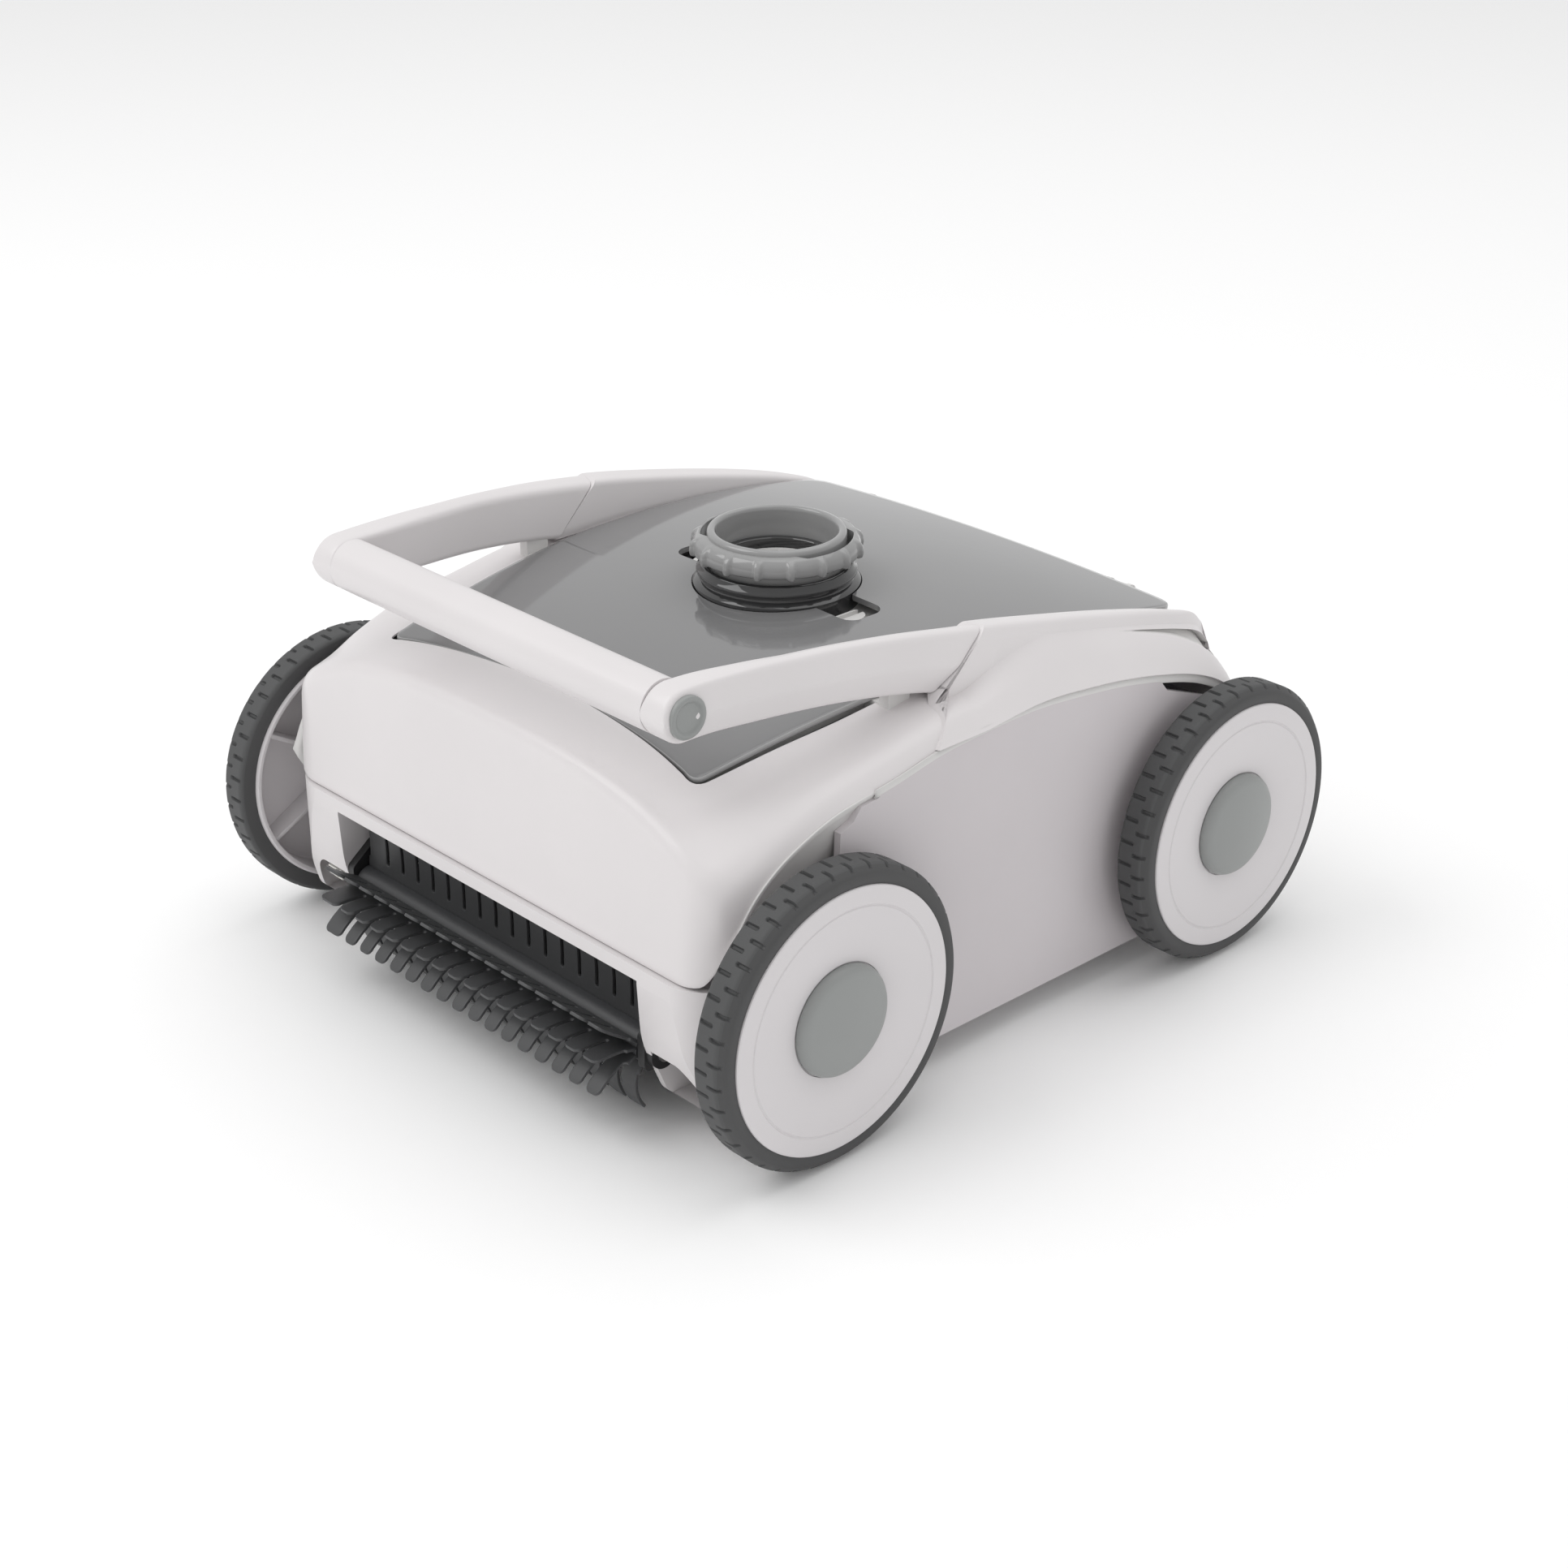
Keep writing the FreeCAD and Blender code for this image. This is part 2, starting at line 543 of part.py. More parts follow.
def reduction_gear(step_phase, wheel_phase):
    bore = 3.0 + RUN
    step = gear(STEP_TEETH, REDUCTION, GEAR_X0, GEAR_X1, bore, step_phase)
    wheel = gear(WHEEL_TEETH, REDUCTION, TRAIN_X0, TRAIN_X1, bore, wheel_phase)
    hub = pipe(bore, 6.0, GEAR_X1, TRAIN_X0, REDUCTION)
    return joined([step, hub, wheel])


def turbine_rotor():
    """Hub, two discs and eight scooped paddles."""
    hub = rod(9.0, -22.0, 22.0, TURBINE)
    discs = [rod(30.0, x, x + 2.0, TURBINE) for x in (-22.0, 20.0)]
    paddles = []
    for k in range(8):
        scoop = pipe(18.0, 20.2, -20.5, 20.5, (14.0, 18.0))
        scoop = scoop.common(box(-30, 30, -8.0, 14.0, 6.0, 31.0)).common(rod(31.5, -25, 25, (0, 0)))
        scoop.rotate(V(0, 0, 0), V(1, 0, 0), k * 45.0)
        scoop.translate(V(0, *TURBINE))
        paddles.append(scoop)
    rotor = joined([hub, *discs, *paddles])
    return rotor.cut(rod(3.0, -30, 30, TURBINE))


def turbine_shaft():
    return rod(3.0, TRAIN_X0, 34.0, TURBINE)


def turbine_bearings():
    made = [pipe(3.0 + RUN, 8.0, s * 29.0 - 3.0, s * 29.0 + 3.0, TURBINE) for s in (-1, 1)]
    made.append(pipe(3.0 + RUN, 6.0, -121.0, -118.0, TURBINE))
    return Part.makeCompound(made)


HOUSING_SCREWS = [(s * 34.0, t * 40.5) for s in (-1, 1) for t in (-1, 1)]


def turbine_housing(upper):
    z = TURBINE[1]
    drum = rod(37.0, -32.0, 32.0, TURBINE)
    room = rod(33.2, -25.6, 25.6, TURBINE)
    seats = rod(8.0, -40.0, 40.0, TURBINE)
    if upper:
        duct = post(30.0, z, 172.0)
        bore = post(26.0, z, 190.0)
        flange = tube_up(26.0, 36.0, 168.0, 172.0)
        lip = box(-40, 40, -44, 44, z, z + 4)
        half = box(-60, 60, -60, 60, z, 200)
    else:
        duct = box(-49, 49, -23, 23, FLOOR_Z, 65)
        bore = box(-46, 46, -20, 20, 0, 62).fuse(box(-22, 22, -20, 20, 50, z))
        flange = box(-60, 60, -30, 30, FLOOR_Z + WALL, FLOOR_Z + WALL + 3)
        lip = box(-40, 40, -44, 44, z - 4, z)
        half = box(-70, 70, -60, 60, FLOOR_Z + WALL, z)
    solid = joined([drum, duct, lip, flange]).common(half)
    shanks = [post(1.8, z - 6, z + 4, x, y) for x, y in HOUSING_SCREWS]
    return solid.cut(joined([room, seats, *shanks])).cut(bore)


def housing_screws():
    made = []
    for x, y in HOUSING_SCREWS:
        shank = post(1.8, TURBINE[1] - 6, TURBINE[1] + 4, x, y)
        made.append(shank.fuse(post(3.2, TURBINE[1] + 4, TURBINE[1] + 6, x, y)).removeSplitter())
    return Part.makeCompound(made)


def outlet_gasket():
    return tube_up(27.0, 33.0, 172.0, 174.2)


def float_block(side):
    """Closed-cell foam beside the turbine that trims the cleaner in water."""
    block = plan_prism([(s_x, y) for s_x, y in ((70.0, 40.0), (148.0, 40.0), (148.0, 128.0), (70.0, 128.0))],
                       8.0, 86.0, 112.0)
    return block if side > 0 else mirrored(block)


def ballast_weight():
    return plan_prism([(-100.0, -138.0), (100.0, -138.0), (100.0, -114.0), (-100.0, -114.0)], 4.0,
                      FLOOR_Z + WALL, FLOOR_Z + WALL + 12)


def lid_panel():
    outline, radii = lid_outline(0)
    panel = lid_slab(LID_TOP, LID_T).common(plan_prism(outline, radii, 100, 260))
    ears = plan_prism([(-61.0, -11.5), (61.0, -11.5), (61.0, 11.5), (-61.0, 11.5)], 10.5, 150, 230)
    return panel.cut(joined([post(44.0, 150, 230), ears]))


def lid_frame():
    """White carrier under the smoked panel, with hinge arms, latch pockets and handle feet."""
    outline, radii = lid_outline(-4.0)
    inner = plan_prism([(-100.0, -130.0), (100.0, -130.0), (108.0, 140.0), (-108.0, 140.0)], 12.0, 100, 260)
    plan = plan_prism(outline, radii, 100, 260).cut(inner)
    plan = joined([plan, *[box(-112, 112, y - 9, y + 9, 100, 260) for y in (-52.0, 52.0)]])
    ring = lid_slab(LID_TOP - LID_T, 6.0).common(plan)
    pad = plan_prism([(-66.0, -57.0), (66.0, -57.0), (66.0, 57.0), (-66.0, 57.0)], 20.0, 179.5, 184.5)
    pad = pad.cut(post(NECK_R, 150, 230))
    foot = box(104.0, FOOT_OUT, *FOOT_Y, 179.5, 184.5)
    feet = foot.fuse(box(FOOT_IN, FOOT_OUT, *FOOT_Y, 179.5, 195.0))
    y, z = HINGE
    lugs = side_prism([(140.0, z - 4.0), (y + 3.5, z - 5.0), (y + 5.0, z + 3.0), (y + 0.5, z + 5.1),
                       (y - 4.4, z + 2.9), (140.0, z + 2.5)], [0, 1.0, 1.0, 1.0, 0, 0], 84.0, 94.0)
    frame = joined([ring, pad, feet, mirrored(feet), lugs, mirrored(lugs)])
    pockets = [box(s * 53 - 9, s * 53 + 9, -9.3, 9.3, 181.5, 190) for s in (-1, 1)]
    pins = [rod(3.0 + RUN, s * 89 - 8, s * 89 + 8, HINGE) for s in (-1, 1)]
    return frame.cut(joined([*pockets, *pins]))


def hinge_pins():
    return Part.makeCompound([rod(3.0, s * 89 - 10, s * 89 + 10, HINGE) for s in (-1, 1)])


def hinge_bracket():
    """The rear cross bar that the lid turns on, screwed to the tub's rear wall."""
    y, z = HINGE
    bar = box(-104, 104, 170.5, 174.0, 100, 151)
    outline = [(y - 4.5, z + 4.5), (y - 4.5, z - 8.0), (166.0, 140.0), (174.0, 140.0), (174.0, 151.0),
               (y + 5.5, z + 4.5)]
    ears = [side_prism(outline, [4.0, 0, 0, 0, 0, 4.0], x, x + 3) for x in (80.5, 94.5)]
    base = box(-104, 104, 174.0, TUB_REAR - WALL, 100, 104)
    made = joined([bar, base, *ears, *[mirrored(e) for e in ears]])
    return made.cut(joined([rod(3.0, s * 89 - 12, s * 89 + 12, HINGE) for s in (-1, 1)]))


def latch_tab(side):
    """A white finger tab that slides towards the collar to free the lid."""
    outline = [(48.5, -9.0), (59.5, -9.0), (59.5, 9.0), (48.5, 9.0)]
    tab = plan_prism(outline, [3.0, 8.0, 8.0, 3.0], 181.9, 188.5)
    thumb = box(50.0, 53.5, -12, 12, 186.5, 190)
    tab = tab.cut(thumb)
    return tab if side > 0 else mirrored(tab)


def handle_tube():
    bores = [rod(2.0, s * 111 - 6, s * 111 + 6, HANDLE) for s in (-1, 1)]
    return rod(HANDLE_R, -116.0, 116.0, HANDLE).cut(joined(bores))


def handle_arm(side):
    """The right arm: a boss round the tube's end that sweeps back to the parting line."""
    y, z = HANDLE
    top = ((y + 2.0, z + HANDLE_R), (-140.0, 228.6), (-100.0, 227.0), (-60.0, 222.8),
           (-16.0, 215.6), (20.0, 209.0))
    blade = spline_prism(top, [(20.0, 178.0), (-36.0, 187.0), (-50.0, 190.5), (-100.0, 198.0),
                               (y + 2.0, z - HANDLE_R)], 100, 160)
    boss = rod(HANDLE_R, 100, 160, HANDLE)
    plan = plan_prism(
        [(116.0, -200.0), (132.5, -200.0), (134.0, -150.0), (142.0, -70.0), (148.5, -15.0), (151.0, 30.0),
         (131.8, 30.0), (129.3, -15.0), (124.0, -88.0), (118.0, -140.0), (116.0, -165.0)],
        [0, 4.0, 150.0, 0, 0, 0, 0, 0, 0, 0, 0], 170, 240)
    arm = joined([blade, boss]).common(plan)
    arm = arm.common(seam_block(0.9))
    tail = box(100, 160, -60, 60, 150, 187)
    arm = arm.cut(tail)
    outline, radii = lid_outline(0.6)
    arm = arm.cut(plan_prism(outline, radii, 150, 187.5))
    arm = arm.cut(rod(10.4, 129.5, 150, HANDLE)).cut(rod(2.2, 110, 140, HANDLE))
    arm = arm.cut(rod(4.8, 126.8, 131, HANDLE)).cut(box(FOOT_IN, FOOT_OUT, *FOOT_Y, 150, 195.0))
    return arm if side > 0 else mirrored(arm)


def handle_cap(side):
    face = 133.2
    profile = [(130.0, 0.0), (130.0, 10.2), (face - 0.6, 10.2), (face, 9.6), (face, 7.2), (face - 0.9, 6.4),
               (face - 0.9, 0.0)]
    return turned(profile, HANDLE, side)


def handle_screws():
    made = []
    for s in (-1, 1):
        shank = rod(2.0, min(s * 106, s * 127.5), max(s * 106, s * 127.5), HANDLE)
        head = rod(4.5, min(s * 127.0, s * 129.5), max(s * 127.0, s * 129.5), HANDLE)
        made.append(joined([shank, head]))
    return Part.makeCompound(made)


def hose_neck():
    """Fixed neck on the lid: tube that the swivel turns on and a dark base ring round it."""
    tube = tube_up(27.5, NECK_R - RUN, 174.6, NECK_TOP)
    flange = tube_up(27.5, 43.0, 184.5, 188.0)
    base = tube_up(RING_OUT + 0.8, 43.0, 188.0, 197.0)
    lip = tube_up(RING_OUT + 0.8, 40.5, 197.0, NECK_LIP_TOP)
    return joined([tube, flange, base, lip])


def swirl_grille():
    """A ring of curved vanes inside the neck."""
    rim_ring = tube_up(25.0, 27.5, 190.0, 199.0)
    hub = post(7.0, 190.0, 199.0)
    vanes = []
    for k in range(18):
        blade = tube_up(17.0, 18.4, 191.0, 198.0, 0.0, 17.6)
        blade = blade.common(box(0, 30, -8, 22, 180, 210)).common(post(25.5, 180, 210))
        blade.rotate(V(0, 0, 0), V(0, 0, 1), k * 20.0)
        vanes.append(blade)
    return joined([rim_ring, hub, *vanes])


def swivel_ring():
    """The hose socket: the hose's cuff sits above a step at HOSE_STOP, the neck below it."""
    ring = tube_up(RING_IN, RING_OUT, 188.6, RING_TOP)
    return ring.cut(post(NECK_R, 180.0, HOSE_STOP))


def collar_nut():
    """The hand nut: a nubbed ring joined to the swivel by webs at front and back."""
    ring = tube_up(38.8, 42.0, NUT_LOW, NUT_TOP)
    nubs = []
    for k in range(NUT_RIBS):
        nub = box(39.5, 44.8, -2.0, 2.0, NUT_LOW + 0.6, NUT_TOP - 2.5)
        nub.rotate(V(0, 0, 0), V(0, 0, 1), k * 360.0 / NUT_RIBS)
        nubs.append(nub)
    web_low, web_top = NUT_LOW + 1.0, NUT_TOP - 1.0
    web = joined([box(-16, 16, y, y + 14, web_low, web_top) for y in (-44, 30)])
    web = web.common(tube_up(RING_OUT, 40.0, web_low, web_top))
    return joined([ring, *nubs, web])


def save(name, shape):
    solids = shape.Solids
    if not shape.isValid() or not solids:
        print(name, shape.isValid(), len(solids))
    (solids[0] if len(solids) == 1 else Part.makeCompound(solids)).exportStep(f"parts/{name}.step")
    b = shape.BoundBox
    print(f"{name:24s} solids {len(solids)} vol {shape.Volume:10.0f} x {b.XMin:.1f}..{b.XMax:.1f}"
          f" y {b.YMin:.1f}..{b.YMax:.1f} z {b.ZMin:.1f}..{b.ZMax:.1f}")


def main():
    os.makedirs("parts", exist_ok=True)
    to_brush = bearing_of(FRONT_AXLE, BRUSH)
    to_idler = bearing_of(FRONT_AXLE, IDLER)
    to_step = bearing_of(IDLER, REDUCTION)
    to_pinion = bearing_of(REDUCTION, TURBINE)
    brush_phase = meshing_phase(BRUSH_TEETH, to_brush, AXLE_TEETH, 0.0)
    idler_phase = meshing_phase(IDLER_TEETH, to_idler, AXLE_TEETH, 0.0)
    step_phase = meshing_phase(STEP_TEETH, to_step, IDLER_TEETH, idler_phase)
    pinion_phase = meshing_phase(PINION_TEETH, to_pinion, WHEEL_TEETH, 0.0)

    save("chassis_tub", chassis_tub())
    save("bottom_plate", bottom_plate())
    save("bottom_plate_screws", screws(PLATE_SCREWS, FLOOR_Z - 3.0, 9.0))
    save("intake_skirt", intake_skirt())
    save("upper_shell", upper_shell())
    save("side_panel_right", side_panel())
    save("side_panel_left", mirrored(side_panel()))
    save("brush_bay_grille", brush_bay_grille())
    for side, name in ((1, "right"), (-1, "left")):
        save(f"handle_arm_{name}", handle_arm(side))
        save(f"latch_tab_{name}", latch_tab(side))
        for end, at, bore in (("front", FRONT_AXLE, AXLE_R), ("rear", REAR_AXLE, AXLE_R + RUN)):
            save(f"{end}_tyre_{name}", tyre(at, side))
            save(f"{end}_rim_{name}", rim(at, side, bore))
            save(f"{end}_hub_cap_{name}", hub_cap(at, side))
    save("brush_bearings", pair(brush_bearing))
    save("front_axle_bushes", pair(axle_bush))
    save("rear_stub_axles", pair(stub_axle))
    save("rear_wheel_screws", pair(retaining_screw))
    save("float_blocks", pair(float_block))
    save("handle_caps", pair(handle_cap))
    save("front_axle", front_axle())
    save("axle_gear", gear(AXLE_TEETH, FRONT_AXLE, GEAR_X0, GEAR_X1, AXLE_R, 0.0))
    save("brush_gear", gear(BRUSH_TEETH, BRUSH, GEAR_X0, GEAR_X1, 4.0, brush_phase))
    save("brush_shaft", rod(4.0, GEAR_X0, 122.0, BRUSH))
    save("brush_core", brush_core())
    save("brush_blades", brush_blades())
    save("idler_gear", gear(IDLER_TEETH, IDLER, GEAR_X0, GEAR_X1, 3.0 + RUN, idler_phase))
    save("reduction_gear", reduction_gear(step_phase, 0.0))
    save("gear_shafts", gear_shafts())
    save("gearbox_case", gearbox_case())
    save("gearbox_cover", gearbox_cover())
    save("turbine_pinion", gear(PINION_TEETH, TURBINE, TRAIN_X0, TRAIN_X1, 3.0, pinion_phase))
    save("turbine_shaft", turbine_shaft())
    save("turbine_rotor", turbine_rotor())
    save("turbine_bearings", turbine_bearings())
    save("turbine_housing_lower", turbine_housing(False))
    save("turbine_housing_upper", turbine_housing(True))
    save("turbine_housing_screws", housing_screws())
    save("outlet_gasket", outlet_gasket())
    save("ballast_weight", ballast_weight())
    save("hinge_bracket", hinge_bracket())
    save("hinge_pins", hinge_pins())
    save("lid_panel", lid_panel())
    save("lid_frame", lid_frame())
    save("handle_tube", handle_tube())
    save("handle_screws", handle_screws())
    save("hose_neck", hose_neck())
    save("swirl_grille", swirl_grille())
    save("swivel_ring", swivel_ring())
    save("collar_nut", collar_nut())


main()
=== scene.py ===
import json
import math

import bmesh
import bpy
import numpy as np
from mathutils import Matrix, Vector


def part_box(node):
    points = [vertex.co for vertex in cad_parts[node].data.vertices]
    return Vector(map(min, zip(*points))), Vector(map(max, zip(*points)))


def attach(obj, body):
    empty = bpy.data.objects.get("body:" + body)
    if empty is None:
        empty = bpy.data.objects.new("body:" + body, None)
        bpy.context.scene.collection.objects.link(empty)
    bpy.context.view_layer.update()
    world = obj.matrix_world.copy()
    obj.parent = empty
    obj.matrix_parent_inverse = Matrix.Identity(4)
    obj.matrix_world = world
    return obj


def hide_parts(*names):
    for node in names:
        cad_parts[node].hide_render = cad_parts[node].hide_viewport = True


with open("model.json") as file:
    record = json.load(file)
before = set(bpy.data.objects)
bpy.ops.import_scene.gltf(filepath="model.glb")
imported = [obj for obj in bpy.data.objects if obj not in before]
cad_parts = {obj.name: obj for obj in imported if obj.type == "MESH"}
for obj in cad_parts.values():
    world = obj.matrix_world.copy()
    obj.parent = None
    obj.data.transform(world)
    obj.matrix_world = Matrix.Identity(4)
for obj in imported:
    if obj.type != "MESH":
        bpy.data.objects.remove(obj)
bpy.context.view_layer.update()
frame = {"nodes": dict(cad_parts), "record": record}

# Looks for the wheeled pool cleaner. Shapes are worked out in millimetres in the CAD's own frame
# (+X right, -Y front, +Z up, floor at z = 0) and scaled to metres as each mesh is made.

MM = 0.001
SIDES = ((1, "right"), (-1, "left"))


def centre_mm(node):
    low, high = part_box(node)
    return (low + high) / 2 / MM


def reach_mm(node):
    low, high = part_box(node)
    return (high - low) / 2 / MM


FRONT_AXLE = centre_mm("front_axle")
REAR_AXLE = centre_mm("rear_tyre_right")
BRUSH = centre_mm("brush_core")
HANDLE = centre_mm("handle_tube")
WHEEL_R = reach_mm("front_tyre_right").z
# The rim's face is at TYRE_OUT; the tyre's own walls stand TYRE_MARGIN inside TYRE_IN and TYRE_OUT.
TYRE_MARGIN = 0.8
TYRE_IN, TYRE_OUT = (corner.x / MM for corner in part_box("front_tyre_right"))
TYRE_IN, TYRE_OUT = TYRE_IN - TYRE_MARGIN, TYRE_OUT + TYRE_MARGIN
HANDLE_R = reach_mm("handle_tube").z


# ---- materials ----
def shader_of(material):
    return material.node_tree.nodes["Principled BSDF"]


def moulded(name, colour, rough=0.42, vary=0.05, grain=0.0, grain_scale=900.0, coat=0.0, **sockets):
    """Moulded plastic or rubber: slow colour and gloss variation, and a fine texture as bump."""
    material = bpy.data.materials.new(name)
    material.use_nodes = True
    nodes, links = material.node_tree.nodes, material.node_tree.links
    shader = shader_of(material)
    coords = nodes.new("ShaderNodeTexCoord")
    cloud = nodes.new("ShaderNodeTexNoise")
    cloud.inputs["Scale"].default_value = 14.0
    cloud.inputs["Detail"].default_value = 3.0
    links.new(coords.outputs["Object"], cloud.inputs["Vector"])
    ramp = nodes.new("ShaderNodeValToRGB")
    low, high = ramp.color_ramp.elements
    low.position, high.position = 0.32, 0.68
    low.color = (*[c * (1 - vary) for c in colour], 1)
    high.color = (*[min(1.0, c * (1 + vary)) for c in colour], 1)
    links.new(cloud.outputs["Fac"], ramp.inputs["Fac"])
    links.new(ramp.outputs["Color"], shader.inputs["Base Color"])
    spread = nodes.new("ShaderNodeMapRange")
    spread.inputs["To Min"].default_value = max(0.02, rough - 0.05)
    spread.inputs["To Max"].default_value = rough + 0.06
    links.new(cloud.outputs["Fac"], spread.inputs["Value"])
    links.new(spread.outputs["Result"], shader.inputs["Roughness"])
    if grain > 0:
        fine = nodes.new("ShaderNodeTexNoise")
        fine.inputs["Scale"].default_value = grain_scale
        fine.inputs["Detail"].default_value = 2.0
        links.new(coords.outputs["Object"], fine.inputs["Vector"])
        bump = nodes.new("ShaderNodeBump")
        bump.inputs["Strength"].default_value = grain
        bump.inputs["Distance"].default_value = 0.0002
        links.new(fine.outputs["Fac"], bump.inputs["Height"])
        links.new(bump.outputs["Normal"], shader.inputs["Normal"])
    shader.inputs["Coat Weight"].default_value = coat
    for key, value in sockets.items():
        shader.inputs[key.replace("_", " ")].default_value = value
    return material


def metal(name, colour, rough):
    material = moulded(name, colour, rough, 0.06, 0.15, 1600.0)
    shader_of(material).inputs["Metallic"].default_value = 1.0
    return material


WHITE = moulded("shell_white", (0.74, 0.712, 0.716), 0.36, 0.012, 0.10, 1200.0, coat=0.08)
WHEEL_WHITE = moulded("wheel_white", (0.69, 0.665, 0.675), 0.40, 0.012, 0.08, 1200.0)
PANEL = moulded("panel_grey", (0.62, 0.585, 0.60), 0.46, 0.015, 0.18, 1500.0)
LID = moulded("lid_smoke", (0.20, 0.20, 0.202), 0.07, 0.02, coat=0.6, Coat_Roughness=0.02)
LID_EDGE = moulded("lid_edge", (0.42, 0.42, 0.42), 0.15, 0.02)
NECK = moulded("collar_smoke", (0.035, 0.035, 0.036), 0.06, 0.05, coat=0.5, Coat_Roughness=0.02)
RING = moulded("collar_ring", (0.30, 0.30, 0.30), 0.16, 0.05, coat=0.4, Coat_Roughness=0.05)
# Pale inner white for vanes and arch lining; the rail's recess faces also take it, a touch darker than the
# shell, as painted shade.
INNER_WHITE_AND_RECESS_SHADE = moulded("inner_white", (0.70, 0.69, 0.68), 0.45, 0.02, 0.1)
CAP = moulded("cap_grey", (0.29, 0.30, 0.295), 0.36, 0.02, 0.06)
TYRE = moulded("tyre_rubber", (0.072, 0.073, 0.074), 0.62, 0.06, 0.35, 1400.0)
TYRE_WALL = moulded("tyre_wall", (0.060, 0.060, 0.061), 0.58, 0.05, 0.25, 1400.0)
BRUSH_RUBBER = moulded("brush_rubber", (0.062, 0.063, 0.065), 0.42, 0.08, 0.2, 900.0)
LINER = moulded("liner_dark", (0.050, 0.051, 0.054), 0.40, 0.05, 0.15)
# Near-black rubber for the seal slot; upper_shell also puts it on the gutter walls round the lid as painted
# shade in the gap.
SEAL_AND_GAP_SHADE = moulded("seal_rubber", (0.022, 0.022, 0.023), 0.5, 0.05, 0.2)
STEEL = metal("steel", (0.60, 0.60, 0.59), 0.28)
ACETAL = moulded("gear_plastic", (0.74, 0.73, 0.69), 0.38, 0.03, 0.05)
BEARING = moulded("bearing_plastic", (0.78, 0.77, 0.75), 0.33, 0.02, 0.05)
HOUSING = moulded("housing_grey", (0.26, 0.27, 0.28), 0.48, 0.04, 0.2)
IRON = moulded("ballast_iron", (0.12, 0.12, 0.12), 0.6, 0.15, 0.8, 400.0)
FOAM = moulded("float_foam", (0.66, 0.68, 0.70), 0.8, 0.06, 0.9, 500.0)

SLOT_MATERIAL = {
    "shell_white": WHITE, "panel_grey": PANEL, "lid_smoke": LID, "collar_smoke": NECK,
    "collar_ring": RING, "inner_white": INNER_WHITE_AND_RECESS_SHADE, "wheel_white": WHEEL_WHITE, "cap_grey": CAP,
    "tyre_rubber": TYRE, "brush_rubber": BRUSH_RUBBER, "liner_dark": LINER, "seal_rubber": SEAL_AND_GAP_SHADE,
    "steel": STEEL, "gear_plastic": ACETAL, "bearing_plastic": BEARING, "housing_grey": HOUSING,
    "ballast_iron": IRON, "float_foam": FOAM,
}


def dress_cad_nodes():
    """Every CAD node gets the material of its slot."""
    slots = {s["node"]: s["material_slot"] for s in frame["record"]["subparts"]}
    for name, node in frame["nodes"].items():
        node.data.materials.clear()
        node.data.materials.append(SLOT_MATERIAL[slots[name]])


# ---- mesh makers ----
def finish_mesh(name, bm, material, sharp_deg):
    """A linked object from bm, welded, smooth but for edges that turn by more than sharp_deg."""
    bmesh.ops.remove_doubles(bm, verts=bm.verts, dist=1e-6)
    bmesh.ops.recalc_face_normals(bm, faces=bm.faces)
    mesh = bpy.data.meshes.new(name)
    bm.to_mesh(mesh)
    bm.free()
    mesh.shade_smooth()
    mesh.set_sharp_from_angle(angle=math.radians(sharp_deg))
    for m in material if isinstance(material, (list, tuple)) else [material]:
        mesh.materials.append(m)
    obj = bpy.data.objects.new(name, mesh)
    bpy.context.scene.collection.objects.link(obj)
    return obj


def add_grid(bm, rows, close_u=False, close_v=False, material=0):
    """Quads over a grid of points in millimetres; u runs along a row and v from row to row."""
    rows = np.asarray(rows, float) * MM
    verts = [[bm.verts.new(p) for p in row] for row in rows]
    nv, nu = len(verts), len(verts[0])
    for j in range(nv if close_v else nv - 1):
        for i in range(nu if close_u else nu - 1):
            a, b = verts[j][i], verts[j][(i + 1) % nu]
            c, d = verts[(j + 1) % nv][(i + 1) % nu], verts[(j + 1) % nv][i]
            if len({a, b, c, d}) == 4:
                bm.faces.new((a, b, c, d)).material_index = material
    return verts


def add_cap(bm, ring, material=0):
    """A fan that closes a ring of vertices."""
    middle = sum((v.co for v in ring), Vector()) / len(ring)
    hub = bm.verts.new(middle)
    for a, b in zip(ring, ring[1:] + ring[:1]):
        bm.faces.new((a, b, hub)).material_index = material


def add_loft(bm, rings, material=0):
    """A closed skin over rings of points, capped at both ends."""
    verts = add_grid(bm, rings, close_u=True, material=material)
    add_cap(bm, verts[0], material)
    add_cap(bm, verts[-1], material)


def softened(profile, radius, steps):
    """A 2D outline with its corners rounded; profile entries are (a, b) or (a, b, own radius)."""
    n = len(profile)
    out = []
    for i in range(n):
        p = np.array(profile[i - 1][:2], float)
        q = np.array(profile[i][:2], float)
        r = np.array(profile[(i + 1) % n][:2], float)
        want = profile[i][2] if len(profile[i]) > 2 else radius
        la, lb = np.linalg.norm(p - q), np.linalg.norm(r - q)
        a, b = (p - q) / la, (r - q) / lb
        half = min(1.5, math.acos(max(-1, min(1, float(a @ b)))) / 2)
        reach = min(want / math.tan(half), 0.48 * la, 0.48 * lb)
        for k in range(steps + 1):
            t = k / steps
            out.append(tuple((1 - t) ** 2 * (q + a * reach) + 2 * t * (1 - t) * q + t * t * (q + b * reach)))
    return out


def add_turned(bm, profile, centre, side, steps, material=0, closed=True):
    """A profile of (x, r) turned about the X axis through centre."""
    turn = np.linspace(0, 2 * math.pi, steps, endpoint=False)
    rows = []
    for x, r in profile:
        rows.append([(side * x, centre[1] + r * math.cos(t), centre[2] + r * math.sin(t)) for t in turn])
    add_grid(bm, rows, close_u=True, close_v=closed, material=material)


def add_turned_up(bm, profile, steps):
    """A closed profile of (r, z) turned about the collar's vertical axis."""
    turn = np.linspace(0, 2 * math.pi, steps, endpoint=False)
    rows = [[(r * math.cos(t), r * math.sin(t), z) for t in turn] for r, z in profile]
    add_grid(bm, rows, close_u=True, close_v=True)


